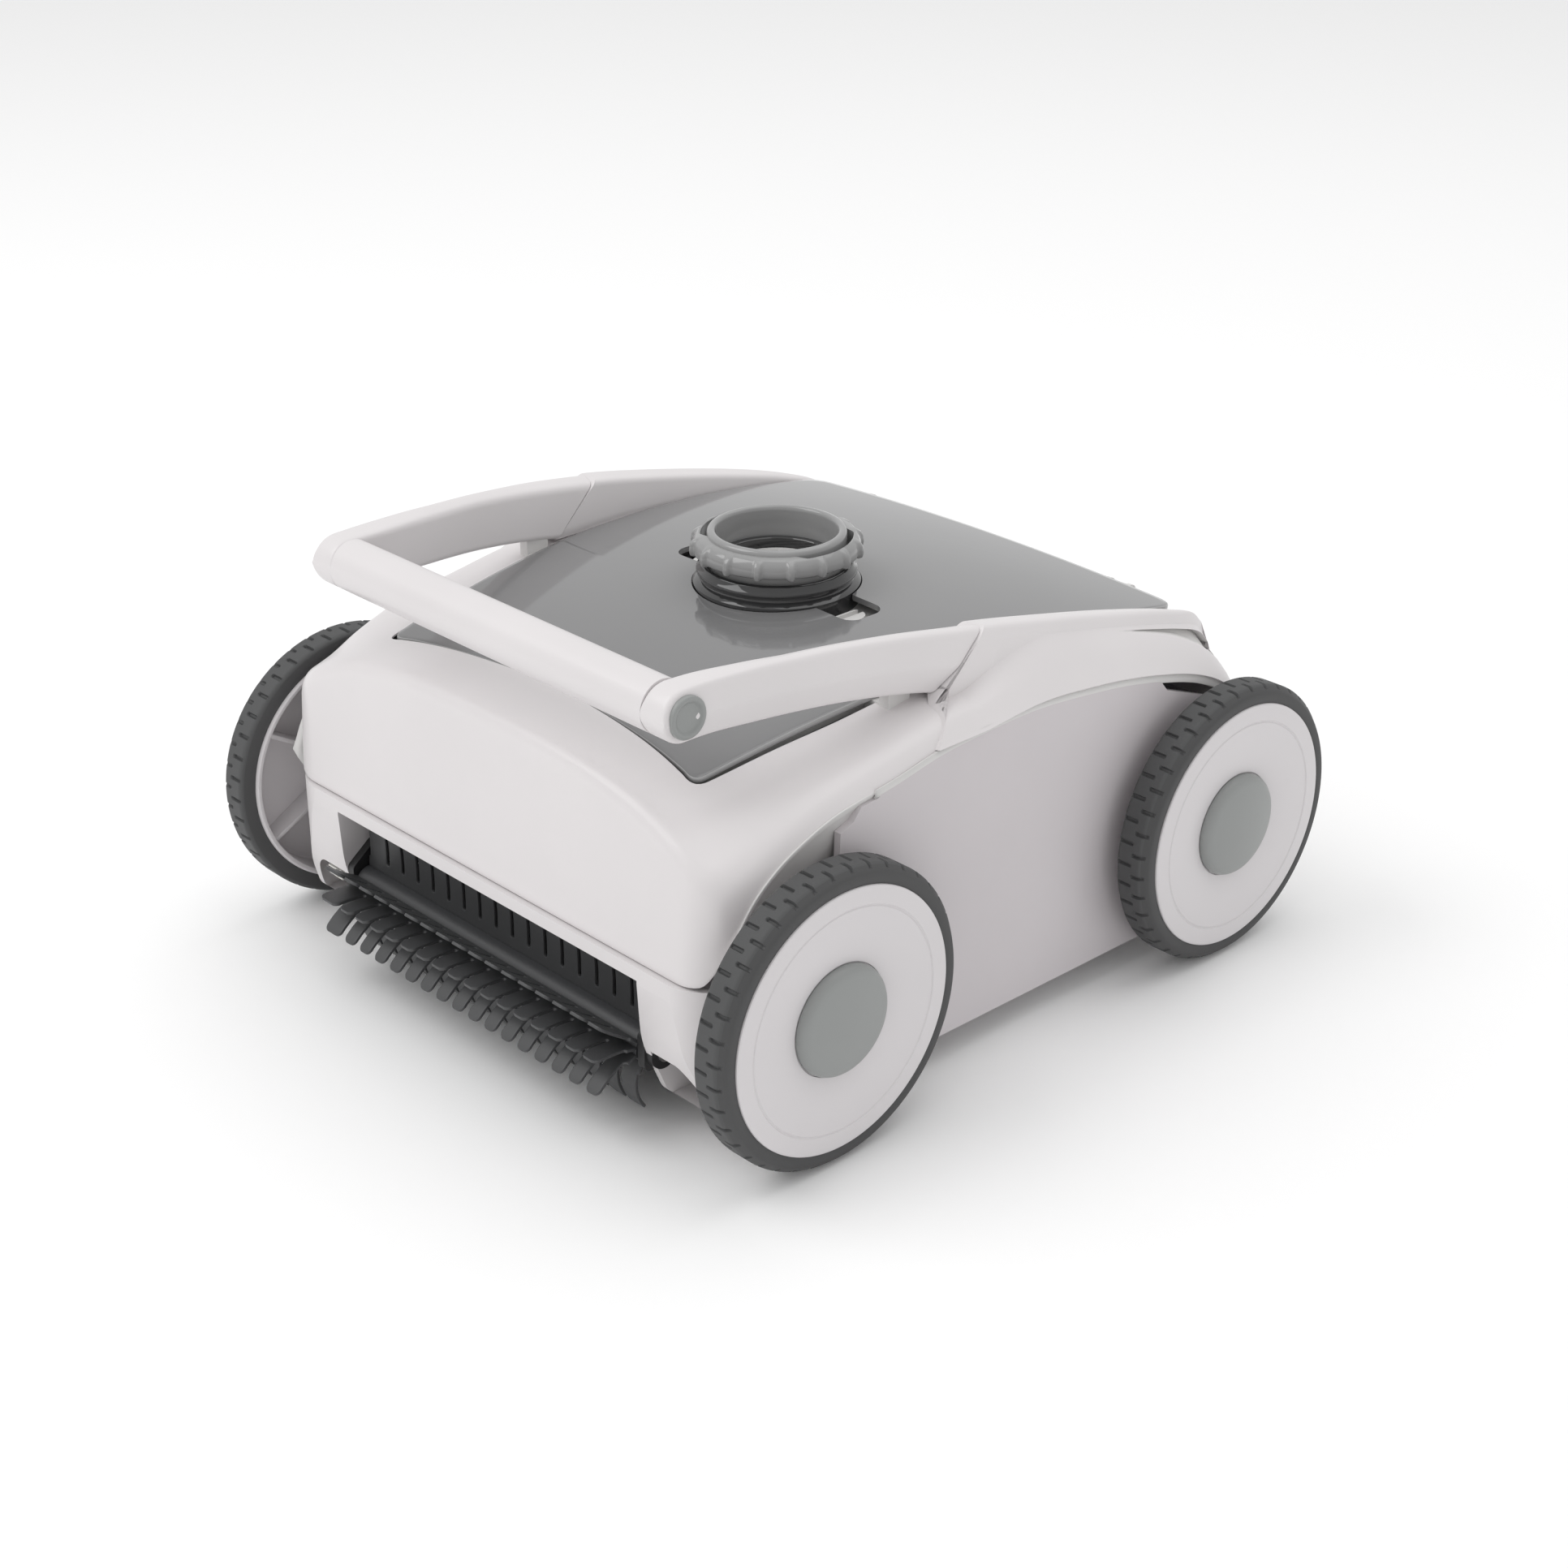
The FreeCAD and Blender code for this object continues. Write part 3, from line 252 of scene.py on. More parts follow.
def smooth_curve(points):
    """A monotone cubic through (x, y) points, as a function of x that carries on in line."""
    xs, ys = (np.array(c, float) for c in zip(*points))
    h, d = np.diff(xs), np.diff(ys) / np.diff(xs)
    m = np.zeros(len(xs))
    for i in range(1, len(xs) - 1):
        if d[i - 1] * d[i] > 0:
            w1, w2 = 2 * h[i] + h[i - 1], h[i] + 2 * h[i - 1]
            m[i] = (w1 + w2) / (w1 / d[i - 1] + w2 / d[i])
    m[0], m[-1] = d[0], d[-1]

    def at(x):
        x = np.asarray(x, float)
        i = np.clip(np.searchsorted(xs, x) - 1, 0, len(h) - 1)
        t = (x - xs[i]) / h[i]
        body = ((1 + 2 * t) * (1 - t) ** 2 * ys[i] + t * (1 - t) ** 2 * h[i] * m[i]
                + t * t * (3 - 2 * t) * ys[i + 1] + t * t * (t - 1) * h[i] * m[i + 1])
        body = np.where(x < xs[0], ys[0] + (x - xs[0]) * m[0], body)
        return np.where(x > xs[-1], ys[-1] + (x - xs[-1]) * m[-1], body)

    return at


def thicken(piece, millimetres, offset=0.0):
    wall = piece.modifiers.new("wall", "SOLIDIFY")
    wall.thickness, wall.offset = millimetres * MM, offset


def soften_edges(piece, millimetres, sharp_deg):
    """A small radius on edges that turn by more than sharp_deg."""
    edge = piece.modifiers.new("edge", "BEVEL")
    edge.width, edge.segments, edge.limit_method = millimetres * MM, 2, "ANGLE"
    edge.angle_limit = math.radians(sharp_deg)


def place(piece, body, slot, *nodes):
    """Rides on body and stands in for the CAD nodes named; slot is not used."""
    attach(piece, body)
    if nodes:
        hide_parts(*nodes)
    return piece


# ---- outer skin ----
SKIN_X = (0.0, 60.0, 105.0, 128.0, 146.0, 160.0, 168.0)
SKIN = (
    (-200.0, (178.0, 176.0, 167.5, 158.5, 149.0, 136.0, 112.0)),
    (-172.0, (178.0, 176.5, 171.0, 164.5, 156.5, 146.0, 128.0)),
    (-150.0, (179.0, 177.0, 173.5, 169.5, 164.5, 157.5, 146.0)),
    (-120.0, (184.0, 182.0, 178.5, 175.0, 172.0, 168.0, 158.0)),
    (-85.0, (189.0, 187.5, 184.5, 179.5, 177.0, 174.0, 165.0)),
    (-40.0, (192.5, 191.5, 189.0, 186.0, 184.0, 180.5, 171.5)),
    (10.0, (193.5, 192.5, 190.5, 188.5, 187.0, 183.5, 174.0)),
    (70.0, (190.0, 189.0, 187.0, 185.0, 182.5, 178.0, 167.0)),
    (125.0, (182.0, 181.0, 178.5, 175.0, 170.5, 164.0, 153.0)),
    (170.0, (163.0, 162.0, 159.0, 154.0, 147.5, 139.5, 126.0)),
    (205.0, (138.0, 137.0, 133.0, 127.0, 119.5, 110.0, 94.0)),
)
HALF, NOSE, TAIL = 168.5, -198.0, 196.0
FRONT_CORNER, REAR_CORNER = 26.0, 34.0
FRONT_LEAN, REAR_LEAN = 12.0, 22.0
LEAN_FROM, LEAN_RISE = 40.0, 190.0
EDGE_Z = 93.0
CREASE_SOFTNESS = 7.0
_along = [smooth_curve([(y, heights[k]) for y, heights in SKIN]) for k in range(len(SKIN_X))]


def crown(x, y):
    """Height of the top skin at a place in plan."""
    x, y = np.abs(np.asarray(x, float)), np.asarray(y, float)
    columns = [f(y) for f in _along]
    total = np.zeros(np.broadcast(x, y).shape)
    knots = np.array(SKIN_X)
    for i in range(len(knots) - 1):
        inside = (x >= knots[i]) & ((x < knots[i + 1]) | (i == len(knots) - 2))
        t = (x - knots[i]) / (knots[i + 1] - knots[i])
        before = columns[max(i - 1, 0)]
        a, b = columns[i], columns[i + 1]
        slope_a = (b - before) / (knots[i + 1] - knots[max(i - 1, 0)]) if i else 0.0 * a
        after = columns[min(i + 2, len(knots) - 1)]
        span = knots[min(i + 2, len(knots) - 1)] - knots[i]
        slope_b = (after - a) / span
        h = knots[i + 1] - knots[i]
        cubic = ((1 + 2 * t) * (1 - t) ** 2 * a + t * (1 - t) ** 2 * h * slope_a
                 + t * t * (3 - 2 * t) * b + t * t * (t - 1) * h * slope_b)
        line = b + (x - knots[i + 1]) * slope_b
        total = np.where(inside, np.where(x > knots[-1], line, cubic), total)
    return total


def plan_distance(x, y, z):
    """Signed distance in plan to the body's rounded outline, which leans in towards the top."""
    lean = (z - LEAN_FROM) / LEAN_RISE
    front, rear = NOSE + FRONT_LEAN * lean, TAIL - REAR_LEAN * lean
    x = np.abs(x)
    middle, half_y = (front + rear) / 2, (rear - front) / 2
    corner = np.where(y < middle, FRONT_CORNER, REAR_CORNER)
    qx = x - (HALF - corner)
    qy = np.abs(y - middle) - (half_y - corner)
    outside = np.hypot(np.maximum(qx, 0), np.maximum(qy, 0))
    return outside + np.minimum(np.maximum(qx, qy), 0) - corner


def smooth_max(a, b, soft):
    gap = np.maximum(soft - np.abs(a - b), 0) / soft
    return np.maximum(a, b) + gap * gap * soft * 0.25


def skin_field(p):
    """Below zero inside the outer skin."""
    x, y, z = p[..., 0], p[..., 1], p[..., 2]
    step = 1.0
    rise_x = (crown(x + step, y) - crown(x - step, y)) / 2
    rise_y = (crown(x, y + step) - crown(x, y - step)) / 2
    rise = np.minimum(np.hypot(rise_x, rise_y), 3.0)
    above = (z - crown(x, y)) / np.sqrt(1 + rise ** 2)
    return smooth_max(above, plan_distance(x, y, z), CREASE_SOFTNESS)


def on_skin(starts, ways):
    """Where rays from inside meet the outer skin."""
    longest, halvings = 260.0, 34
    near, far = np.zeros(len(starts)), np.full(len(starts), longest)
    for _ in range(halvings):
        mid = (near + far) / 2
        inside = skin_field(starts + ways * mid[:, None]) < 0
        near, far = np.where(inside, mid, near), np.where(inside, far, mid)
    return starts + ways * near[:, None]


def evenly(points, count, closed=False):
    """count points at even spacing along a polyline."""
    pts = np.asarray(points, float)
    if closed:
        pts = np.vstack([pts, pts[:1]])
    run = np.concatenate([[0], np.cumsum(np.linalg.norm(np.diff(pts, axis=0), axis=1))])
    at = np.linspace(0, run[-1], count, endpoint=not closed)
    return np.stack([np.interp(at, run, pts[:, k]) for k in range(pts.shape[1])], axis=1)


def lid_half(grow):
    """Right half of the lid's outline from front middle to rear middle, in plan."""
    front = [(x, -146.0 - grow - 11.5 * (x / 113.5) ** 2.2) for x in np.linspace(0, 104, 18)]
    corner = softened([(100.0, -154.5 - grow), (114.5 + grow, -158.5 - grow), (122.5 + grow, -88.0)],
                      15 + grow, 8)
    side_at = smooth_curve([(-125.0, 118.6), (-88.0, 122.5), (-15.0, 129.0), (60.0, 131.6), (150.0, 133.0)])
    side = [(float(side_at(y)) + grow, y) for y in np.linspace(-128, 142, 40)]
    rear = softened([(133.0 + grow, 120.0), (133.0 + grow, 158.0 + grow), (90.0, 158.0 + grow)], 12.0, 6)
    middle = [c for c in corner if -157 - grow < c[1] < -132 and c[0] > 106]
    turn = [c for c in rear if c[1] > 143 and c[0] > 112]
    return front + middle + side + turn + [(x, 158.0 + grow) for x in np.linspace(110, 0, 14)]


# Height of the arch lip along the side; it meets the level front edge near the nose.
LIP = smooth_curve([(-197.5, EDGE_Z), (-193.5, 95.0), (-189.0, 103.0), (-182.0, 118.0), (-168.0, 136.0),
                    (-147.0, 150.0), (-118.0, 160.0), (-85.0, 164.5), (-45.0, 171.0), (4.0, 173.0),
                    (60.0, 168.0), (115.0, 157.0), (150.0, 144.0), (172.0, 126.0), (184.0, 104.0),
                    (187.5, EDGE_Z)])


def quarter_turn(x, y, radius, start):
    return [(x + radius * math.cos(a), y + radius * math.sin(a))
            for a in np.linspace(start, start + math.pi / 2, 24)]


def outer_half():
    """Nose seam, front corner, arch lip, rear corner and tail edge, right half, in three stretches."""
    front = NOSE + 0.6
    rear = TAIL - REAR_LEAN * (EDGE_Z - LEAN_FROM) / LEAN_RISE
    front_turn = quarter_turn(HALF - FRONT_CORNER, front + FRONT_CORNER, FRONT_CORNER, -math.pi / 2)
    rear_turn = quarter_turn(HALF - REAR_CORNER, rear - REAR_CORNER, REAR_CORNER, 0.0)
    nose = [(x, front) for x in np.linspace(0, HALF - FRONT_CORNER, 30)]
    side = [(HALF, y) for y in np.linspace(front_turn[-1][1], rear_turn[0][1], 90)]
    tail = [(x, rear) for x in np.linspace(HALF - REAR_CORNER, 0, 30)]
    stretches = (nose + front_turn[1:12], front_turn[11:] + side[1:] + rear_turn[1:12],
                 rear_turn[11:] + tail[1:])
    return [[(x, y, float(np.clip(LIP(y), EDGE_Z, 173.0))) for x, y in part] for part in stretches]


def upper_shell():
    """The white shell as a ring from the lid's opening out and down to its lower edge, with near-black
    painted shade on the gutter walls round the opening.
    """
    lid = lid_half(2.5)
    corner = max(range(len(lid)), key=lambda i: lid[i][0] * 0.6 - lid[i][1])
    rear = max(range(len(lid)), key=lambda i: lid[i][0] * 0.6 + lid[i][1])
    inner = lid[:corner + 1], lid[corner:rear + 1], lid[rear:]
    outer = outer_half()
    counts = (64, 150, 56)
    opening, edges = [], []
    for inside, outside, count in zip(inner, outer, counts):
        opening += list(evenly(inside, count))[:-1]
        edges += list(evenly(outside, count))[:-1]
    opening.append(np.array(lid[-1]))
    edges.append(np.array(outer[-1][-1]))
    opening, edges = np.array(opening, float), np.array(edges, float)
    starts = np.column_stack([opening * 0.955, edges[:, 2] - 8.0])
    tops = np.column_stack([opening, crown(opening[:, 0], opening[:, 1])])
    to_top, to_edge = tops - starts, edges - starts
    to_top /= np.linalg.norm(to_top, axis=1)[:, None]
    to_edge /= np.linalg.norm(to_edge, axis=1)[:, None]
    angle = np.arccos(np.clip((to_top * to_edge).sum(1), -1, 1))[:, None]
    lines = []
    for t in np.linspace(0, 1, 61):
        way = (np.sin((1 - t) * angle) * to_top + np.sin(t * angle) * to_edge) / np.sin(angle)
        lines.append(on_skin(starts, way))
    strips = np.stack(lines, axis=1)
    strips = np.array([evenly(strip, 44) for strip in strips])
    gutter = []
    deep, wide, shoulder = np.array([0, 0, 6.5]), 5.0, np.array([0, 0, 1.2])
    for strip, top in zip(strips, opening):
        inward = np.array([*(-top / np.linalg.norm(top)), 0.0])
        edge = strip[0]
        gutter.append([edge + inward * wide - deep, edge - deep, edge - shoulder])
    gutter = np.array(gutter)
    mirror = np.array([-1.0, 1.0, 1.0])
    ring = np.concatenate([strips, strips[-2:0:-1] * mirror])
    seat = np.concatenate([gutter, gutter[-2:0:-1] * mirror])
    bm = bmesh.new()
    add_grid(bm, ring, close_v=True)
    add_grid(bm, np.concatenate([seat[:, 2:], ring[:, :1]], axis=1), close_v=True)
    # The gutter walls round the lid opening take the near-black rubber: painted shade for the dark gap
    # between lid and shell.
    add_grid(bm, seat, close_v=True, material=1)
    shell = finish_mesh("upper_shell_skin", bm, [WHITE, SEAL_AND_GAP_SHADE], 50.0)
    thicken(shell, 2.4, -1.0)
    soften_edges(shell, 0.6, 50.0)
    return place(shell, "chassis", "shell_white", "upper_shell")


# ---- arms, rails and handle ----
# The seam between arm and rail leans back by SEAM_SLOPE for each millimetre of height.
SEAM_SLOPE = (-5.0 + 40.0) / (214.0 - 184.8)
SEAM_MIDDLE = 199.2
ARM_OUT = smooth_curve([(-195, 132.5), (-178, 132.7), (-150, 134.6), (-100, 139.2), (-70, 142.8),
                        (-40, 146.6), (-15, 148.8), (10, 149.8)])
ARM_IN = smooth_curve([(-195, 116), (-165, 116.2), (-140, 118.6), (-88, 125.5), (-40, 129.6),
                       (-15, 131.4), (10, 132.4)])
ARM_TOP = smooth_curve([(-180, 228), (-165, 228.4), (-140, 228.2), (-100, 226.4), (-60, 222.2),
                        (-16, 215.4), (10, 211.2)])
ARM_LOW = smooth_curve([(-180, 202), (-165, 202.2), (-140, 200.8), (-100, 197.6), (-50, 190.4),
                        (-34, 186.6), (10, 178)])
RAIL_TOP = smooth_curve([(-60, 222.8), (-16, 215.8), (4, 212.3), (35, 206), (97, 192), (143, 179.3),
                         (163, 171.5), (173, 163)])
RAIL_OUT = smooth_curve([(-60, 143.8), (-40, 146.6), (-15, 148.8), (40, 150.6), (100, 150), (140, 147),
                         (173, 140)])
RAIL_IN = smooth_curve([(-60, 128.4), (-15, 131.7), (60, 134.2), (150, 135.6), (173, 135.2)])
RAIL_STATIONS = np.linspace(-23.0, 172.8, 96)


def arm_section(y):
    """Outline of the right arm in X-Z: flat inside, and outside a soft ridge below the middle."""
    out, inn = float(ARM_OUT(y)), float(ARM_IN(y))
    if y < HANDLE.y:
        half = math.sqrt(max(HANDLE_R ** 2 - (y - HANDLE.y) ** 2, 0.01))
        top, low = HANDLE.z + half, HANDLE.z - half
    else:
        top, low = float(ARM_TOP(y)), float(ARM_LOW(y))
    tall = top - low
    far = min(1.0, max(0.0, (y - HANDLE.y) / 60))
    corner = min(3.2, tall * 0.22)
    return softened([(inn + 0.6 * far, low), (inn + 3.0 * far, top - 3.0 * far, corner + 2.0 * far),
                     (out - 1.6, top, corner + 1.5 * far), (out + 1.4 * far, low + 0.45 * tall, 7.0),
                     (out - 1.6, low, corner)], corner, 6)


def leaning_rings(section_at, stations, leans):
    """Sections leant back in Y by their height, each point's shape read where it ends up."""
    spare, rounds = 40.0, 4
    at = np.linspace(stations[0] - spare, stations[-1] + spare, 240)
    at = np.clip(at, stations[0], None)
    at = np.unique(np.concatenate([at, stations]))
    table = np.array([section_at(y) for y in at])
    rings = []
    for y, lean in zip(stations, leans):
        v = np.full(table.shape[1], y)
        for _ in range(rounds):
            z = np.array([np.interp(v[i], at, table[:, i, 1]) for i in range(len(v))])
            v = y + lean * (z - SEAM_MIDDLE)
        x = np.array([np.interp(v[i], at, table[:, i, 0]) for i in range(len(v))])
        rings.append(np.column_stack([x, v, z]))
    return np.array(rings)


def handle_arm(side, name):
    nose = [HANDLE.y - HANDLE_R * math.cos(t) for t in np.linspace(0.03, math.pi / 2, 14)]
    stations = np.array(nose + list(np.linspace(HANDLE.y + 3, -23.9, 56)))
    leans = SEAM_SLOPE * np.clip((stations + 75.0) / 50.0, 0, 1)
    rings = leaning_rings(arm_section, stations, leans) * [side, 1, 1]
    bm = bmesh.new()
    add_loft(bm, rings)
    arm = finish_mesh(f"arm_{name}", bm, WHITE, 50.0)
    return place(arm, "lid", "shell_white", f"handle_arm_{name}")


# The recess at the rail's tail, as shares of the way down its outer face; the same bounds pick the faces
# given painted shade.
RECESS_FROM = 86.0
RECESS_TOP = smooth_curve([(84, 0.16), (172, 0.20)])
RECESS_LOW = smooth_curve([(84, 0.16), (125, 0.34), (172, 0.66)])
FACE_STEPS = np.linspace(0.03, 1, 34)


def rail_section(y):
    """Right rail in X-Z: ridge along the lid, then a full outer face down to the arch lip."""
    top, out, inn = float(RAIL_TOP(y)), float(RAIL_OUT(y)), float(RAIL_IN(y))
    lip = float(LIP(y)) + 2.5
    low = float(crown(inn, y)) - 5.0
    grown = min(1.0, max(0.0, (y + 30.0) / 70.0))
    grown = grown * grown * (3 - 2 * grown)
    ridge = [(inn, low), (inn + 2.0, top - 1.5, 4.0), (out - 1.0, top, 5.0), (out + 1.0, top - 6.5, 2.0),
             (out + 1.2, top - 9.0, 0.1)]
    section = softened(ridge, 3.0, 5)[:-6]
    first = np.array(section[-1])
    deep = 6.5 * min(1.0, max(0.0, (y - RECESS_FROM) / 70.0)) ** 0.8
    xs = first[0] + (HALF - 0.2 - first[0]) * FACE_STEPS ** (1.0 + 0.25 * grown)
    for t, x, ground in zip(FACE_STEPS, xs, crown(xs, y) - 0.4):
        line = first[1] + (lip - first[1]) * t + 3.4 * math.sin(math.pi * t) * grown
        z = ground + (line - ground) * grown
        inside = min(t - float(RECESS_TOP(y)), float(RECESS_LOW(y)) - t)
        dip = deep * min(1.0, max(0.0, inside / 0.035))
        section.append((x - dip, z))
    section.append((HALF - 4.5, lip - 3.5))
    return section


def rail_rings():
    leans = SEAM_SLOPE * np.clip((17.0 - RAIL_STATIONS) / 40.0, 0, 1)
    return leaning_rings(rail_section, RAIL_STATIONS, leans)


def rail(rings, side, name):
    """The ridge that carries on from the arm, with the pale recess at its tail, whose faces take the inner
    white, a touch darker than the shell, as painted shade.
    """
    bm = bmesh.new()
    add_loft(bm, rings * [side, 1, 1])
    piece = finish_mesh(f"rail_{name}", bm, [WHITE, INNER_WHITE_AND_RECESS_SHADE], 50.0)
    count = rings.shape[1]
    face_from = count - 1 - len(FACE_STEPS)
    for poly in piece.data.polygons[:(len(rings) - 1) * count]:
        row, column = divmod(poly.index, count)
        down = FACE_STEPS[0] + (1 - FACE_STEPS[0]) * (column + 0.5 - face_from) / (len(FACE_STEPS) - 1)
        y = RAIL_STATIONS[row]
        # Faces inside the recess take the slightly darker inner white: painted shade on top of the real dip.
        if y > RECESS_FROM + 2.0 and RECESS_TOP(y) < down < RECESS_LOW(y):
            poly.material_index = 1
    return place(piece, "chassis", "shell_white", "upper_shell")


def handle_cap(side, name):
    """Dished plug in the end of the handle tube; depths are from its rim."""
    face = float(ARM_OUT(HANDLE.y)) + 1.4
    profile = [(4.0, 0.0), (4.0, 10.2), (0.9, 10.2), (0.25, 9.8), (0.0, 9.1), (0.0, 8.2), (0.35, 7.5),
               (1.0, 7.0), (1.25, 6.2), (1.15, 3.0), (1.1, 0.0)]
    bm = bmesh.new()
    add_turned(bm, [(face - deep, r) for deep, r in profile], HANDLE, side, 72, closed=False)
    cap = finish_mesh(f"cap_{name}", bm, CAP, 40.0)
    return place(cap, "lid", "cap_grey", "handle_caps")


# ---- lid ----
LID_TOP = 193.6
LID_ARC_R, LID_ARC_Y = 745.0, 9.0


def lid_height(x, y):
    """Height of the lid's two-way crown."""
    along = LID_ARC_R - np.sqrt(LID_ARC_R ** 2 - (y - LID_ARC_Y) ** 2)
    return LID_TOP - 5.2 * (x / 150.0) ** 2 - along


def lid_hole():
    """The round hole for the neck with its two ears, as a closed outline."""
    radius, ear, reach, bend = 43.6, 12.5, 66.5, 8.0
    start = math.asin(ear / radius)
    arc = [(radius * math.cos(a), radius * math.sin(a)) for a in np.linspace(start, math.pi - start, 40)]
    tip = [(-reach + bend + bend * math.cos(a), math.copysign(ear - bend, math.sin(a)) + bend * math.sin(a))
           for a in np.linspace(math.pi / 2 + 0.001, 3 * math.pi / 2 - 0.001, 24)]
    half = arc + tip
    return half + [(-x, -y) for x, y in half]


def lid_panel():
    """Smoked panel with a two-way crown, its hole and ears, and a lighter edge."""
    right = lid_half(0.0)
    outline = right + [(-x, y) for x, y in right[-2:0:-1]]
    count = 480
    hole = evenly(lid_hole(), 960, closed=True)
    outer = evenly(outline, 1600, closed=True)

    def by_angle(points):
        order = np.argsort(np.arctan2(points[:, 1], points[:, 0]))
        return points[order]

    def match(points, angles):
        pts = by_angle(points)
        known = np.arctan2(pts[:, 1], pts[:, 0])
        known = np.concatenate([known - 2 * math.pi, known, known + 2 * math.pi])
        return np.stack([np.interp(angles, known, np.tile(pts[:, k], 3)) for k in (0, 1)], axis=1)

    around = evenly(by_angle(outer), count, closed=True)
    angles = np.arctan2(around[:, 1], around[:, 0])
    inner = match(hole, angles)
    rows = []
    for t in np.linspace(0, 1, 40):
        flat = inner * (1 - t) + around * t
        rows.append(np.column_stack([flat, lid_height(flat[:, 0], flat[:, 1])]))
    middle = np.array([[0.0, 5.0]])

    def inset(points, by, down):
        way = middle - points
        way /= np.linalg.norm(way, axis=1)[:, None]
        flat = points + way * by
        return np.column_stack([flat, lid_height(points[:, 0], points[:, 1]) - down])

    rim = [inset(around, 0.0, 0.0), inset(around, -0.35, 0.25), inset(around, -0.5, 0.7),
           inset(around, -0.4, 2.6), inset(around, 0.2, 3.0), inset(around, 6.0, 3.0)]
    well = [inset(inner, 0.0, 3.0), inset(inner, 0.15, 0.5), inset(inner, 0.0, 0.0)]
    bm = bmesh.new()
    add_grid(bm, well + rows[1:-1] + rim[:1], close_u=True)
    add_grid(bm, rim, close_u=True, material=1)
    panel = finish_mesh("smoked_panel", bm, [LID, LID_EDGE], 50.0)
    return place(panel, "lid", "lid_smoke", "lid_panel")


# ---- hose collar ----
def swivel_ring():
    profile = [(31.0, 189.5), (31.0, 218.6), (31.3, 220.0), (32.2, 220.9), (33.4, 221.0), (34.6, 220.6),
               (35.4, 219.6), (35.7, 218.2), (35.9, 190.0), (35.4, 189.2), (31.6, 188.9)]
    bm = bmesh.new()
    add_turned_up(bm, profile, 144)
    ring = finish_mesh("hose_socket", bm, RING, 42.0)
    return place(ring, "hose_swivel", "collar_ring", "swivel_ring")


def collar_nut():
    """Hand nut: a ring with rounded grip ribs, joined to the socket in front and behind."""
    steps, ribs = 640, 16
    turn = np.linspace(0, 2 * math.pi, steps, endpoint=False)
    phase = (turn * ribs / (2 * math.pi)) % 1.0
    rib = np.exp(-((phase - 0.5) * 8.5) ** 4)
    joint = np.clip((np.abs(np.sin(turn - 0.25)) - 0.55) / 0.15, 0, 1)
    joint = joint * joint * (3 - 2 * joint)
    inner = 38.9 - 3.6 * joint
    levels = [(40.6, 208.9, 0.2), (41.9, 209.0, 0.5), (42.7, 209.7, 0.9), (43.0, 211.0, 1.0),
              (42.6, 214.4, 1.0), (41.8, 216.2, 0.8), (40.6, 217.5, 0.35), (39.8, 218.2, 0.0)]
    rows = [np.column_stack([inner * np.cos(turn), inner * np.sin(turn), 217.9 + 0.5 * joint]),
            np.column_stack([inner * np.cos(turn), inner * np.sin(turn), np.full(steps, 209.1)])]
    for radius, z, strength in levels:
        r = radius + rib * strength * 1.9
        level = z - 0.9 * rib if z < 210 else np.full(steps, z)
        rows.append(np.column_stack([r * np.cos(turn), r * np.sin(turn), level]))
    bm = bmesh.new()
    add_grid(bm, rows, close_u=True, close_v=True)
    nut = finish_mesh("hand_nut", bm, RING, 48.0)
    return place(nut, "hose_swivel", "collar_ring", "collar_nut")


def hose_neck():
    """Dark neck: the tube inside the socket and a stepped glossy base ring round it."""
    tube_in = [(27.5, 174.6), (27.5, 204.6), (27.9, 205.0), (31.5, 205.0), (31.95, 204.5), (31.95, 188.4)]
    lip = [(36.9, 188.4), (36.9, 203.4), (37.5, 204.0), (38.6, 203.9), (39.3, 203.2), (39.8, 201.4),
           (40.9, 200.6), (41.3, 199.8), (41.2, 199.0)]
    foot = [(39.6, 198.2), (39.2, 196.8), (39.6, 195.6), (41.6, 194.8), (43.0, 193.6), (43.0, 184.6),
            (32.0, 184.5), (32.0, 174.6)]
    profile = tube_in + lip + foot
    bm = bmesh.new()
    add_turned_up(bm, profile, 144)
    neck = finish_mesh("neck_base", bm, NECK, 42.0)
    return place(neck, "lid", "collar_smoke", "hose_neck")


def swirl_vanes():
    """White ring of curved vanes that shows down the hose socket."""
    bm = bmesh.new()
    ring = [(24.6, 190.2), (24.6, 199.0), (25.2, 199.8), (26.8, 199.8), (27.4, 199.0), (27.4, 190.2)]
    add_turned_up(bm, ring, 96)
    hub = [(0.0, 190.2), (0.0, 198.6), (3.0, 198.5), (5.6, 197.8), (6.8, 196.4), (7.0, 190.2)]
    add_turned_up(bm, hub, 64)
    root, span, sweep, power = 6.6, 18.4, 0.95, 1.4
    for k in range(18):
        rings = []
        for t in np.linspace(0, 1, 12):
            r = root + span * t
            a = math.radians(20 * k) + sweep * t ** power
            turn = math.atan(sweep * power * t ** (power - 1) * r / span)
            across = np.array([-math.sin(a + turn), math.cos(a + turn)])
            mid = np.array([math.cos(a), math.sin(a)]) * r
            top = 198.4 + 0.9 * t
            ring = []
            for u, z in softened([(-0.75, 191.0), (0.75, 191.0), (0.75, top), (-0.75, top)], 0.5, 2):
                ring.append((*(mid + across * u), z))
            rings.append(ring)
        add_loft(bm, rings)
    vanes = finish_mesh("swirl_vanes", bm, INNER_WHITE_AND_RECESS_SHADE, 40.0)
    return place(vanes, "lid", "inner_white", "swirl_grille")


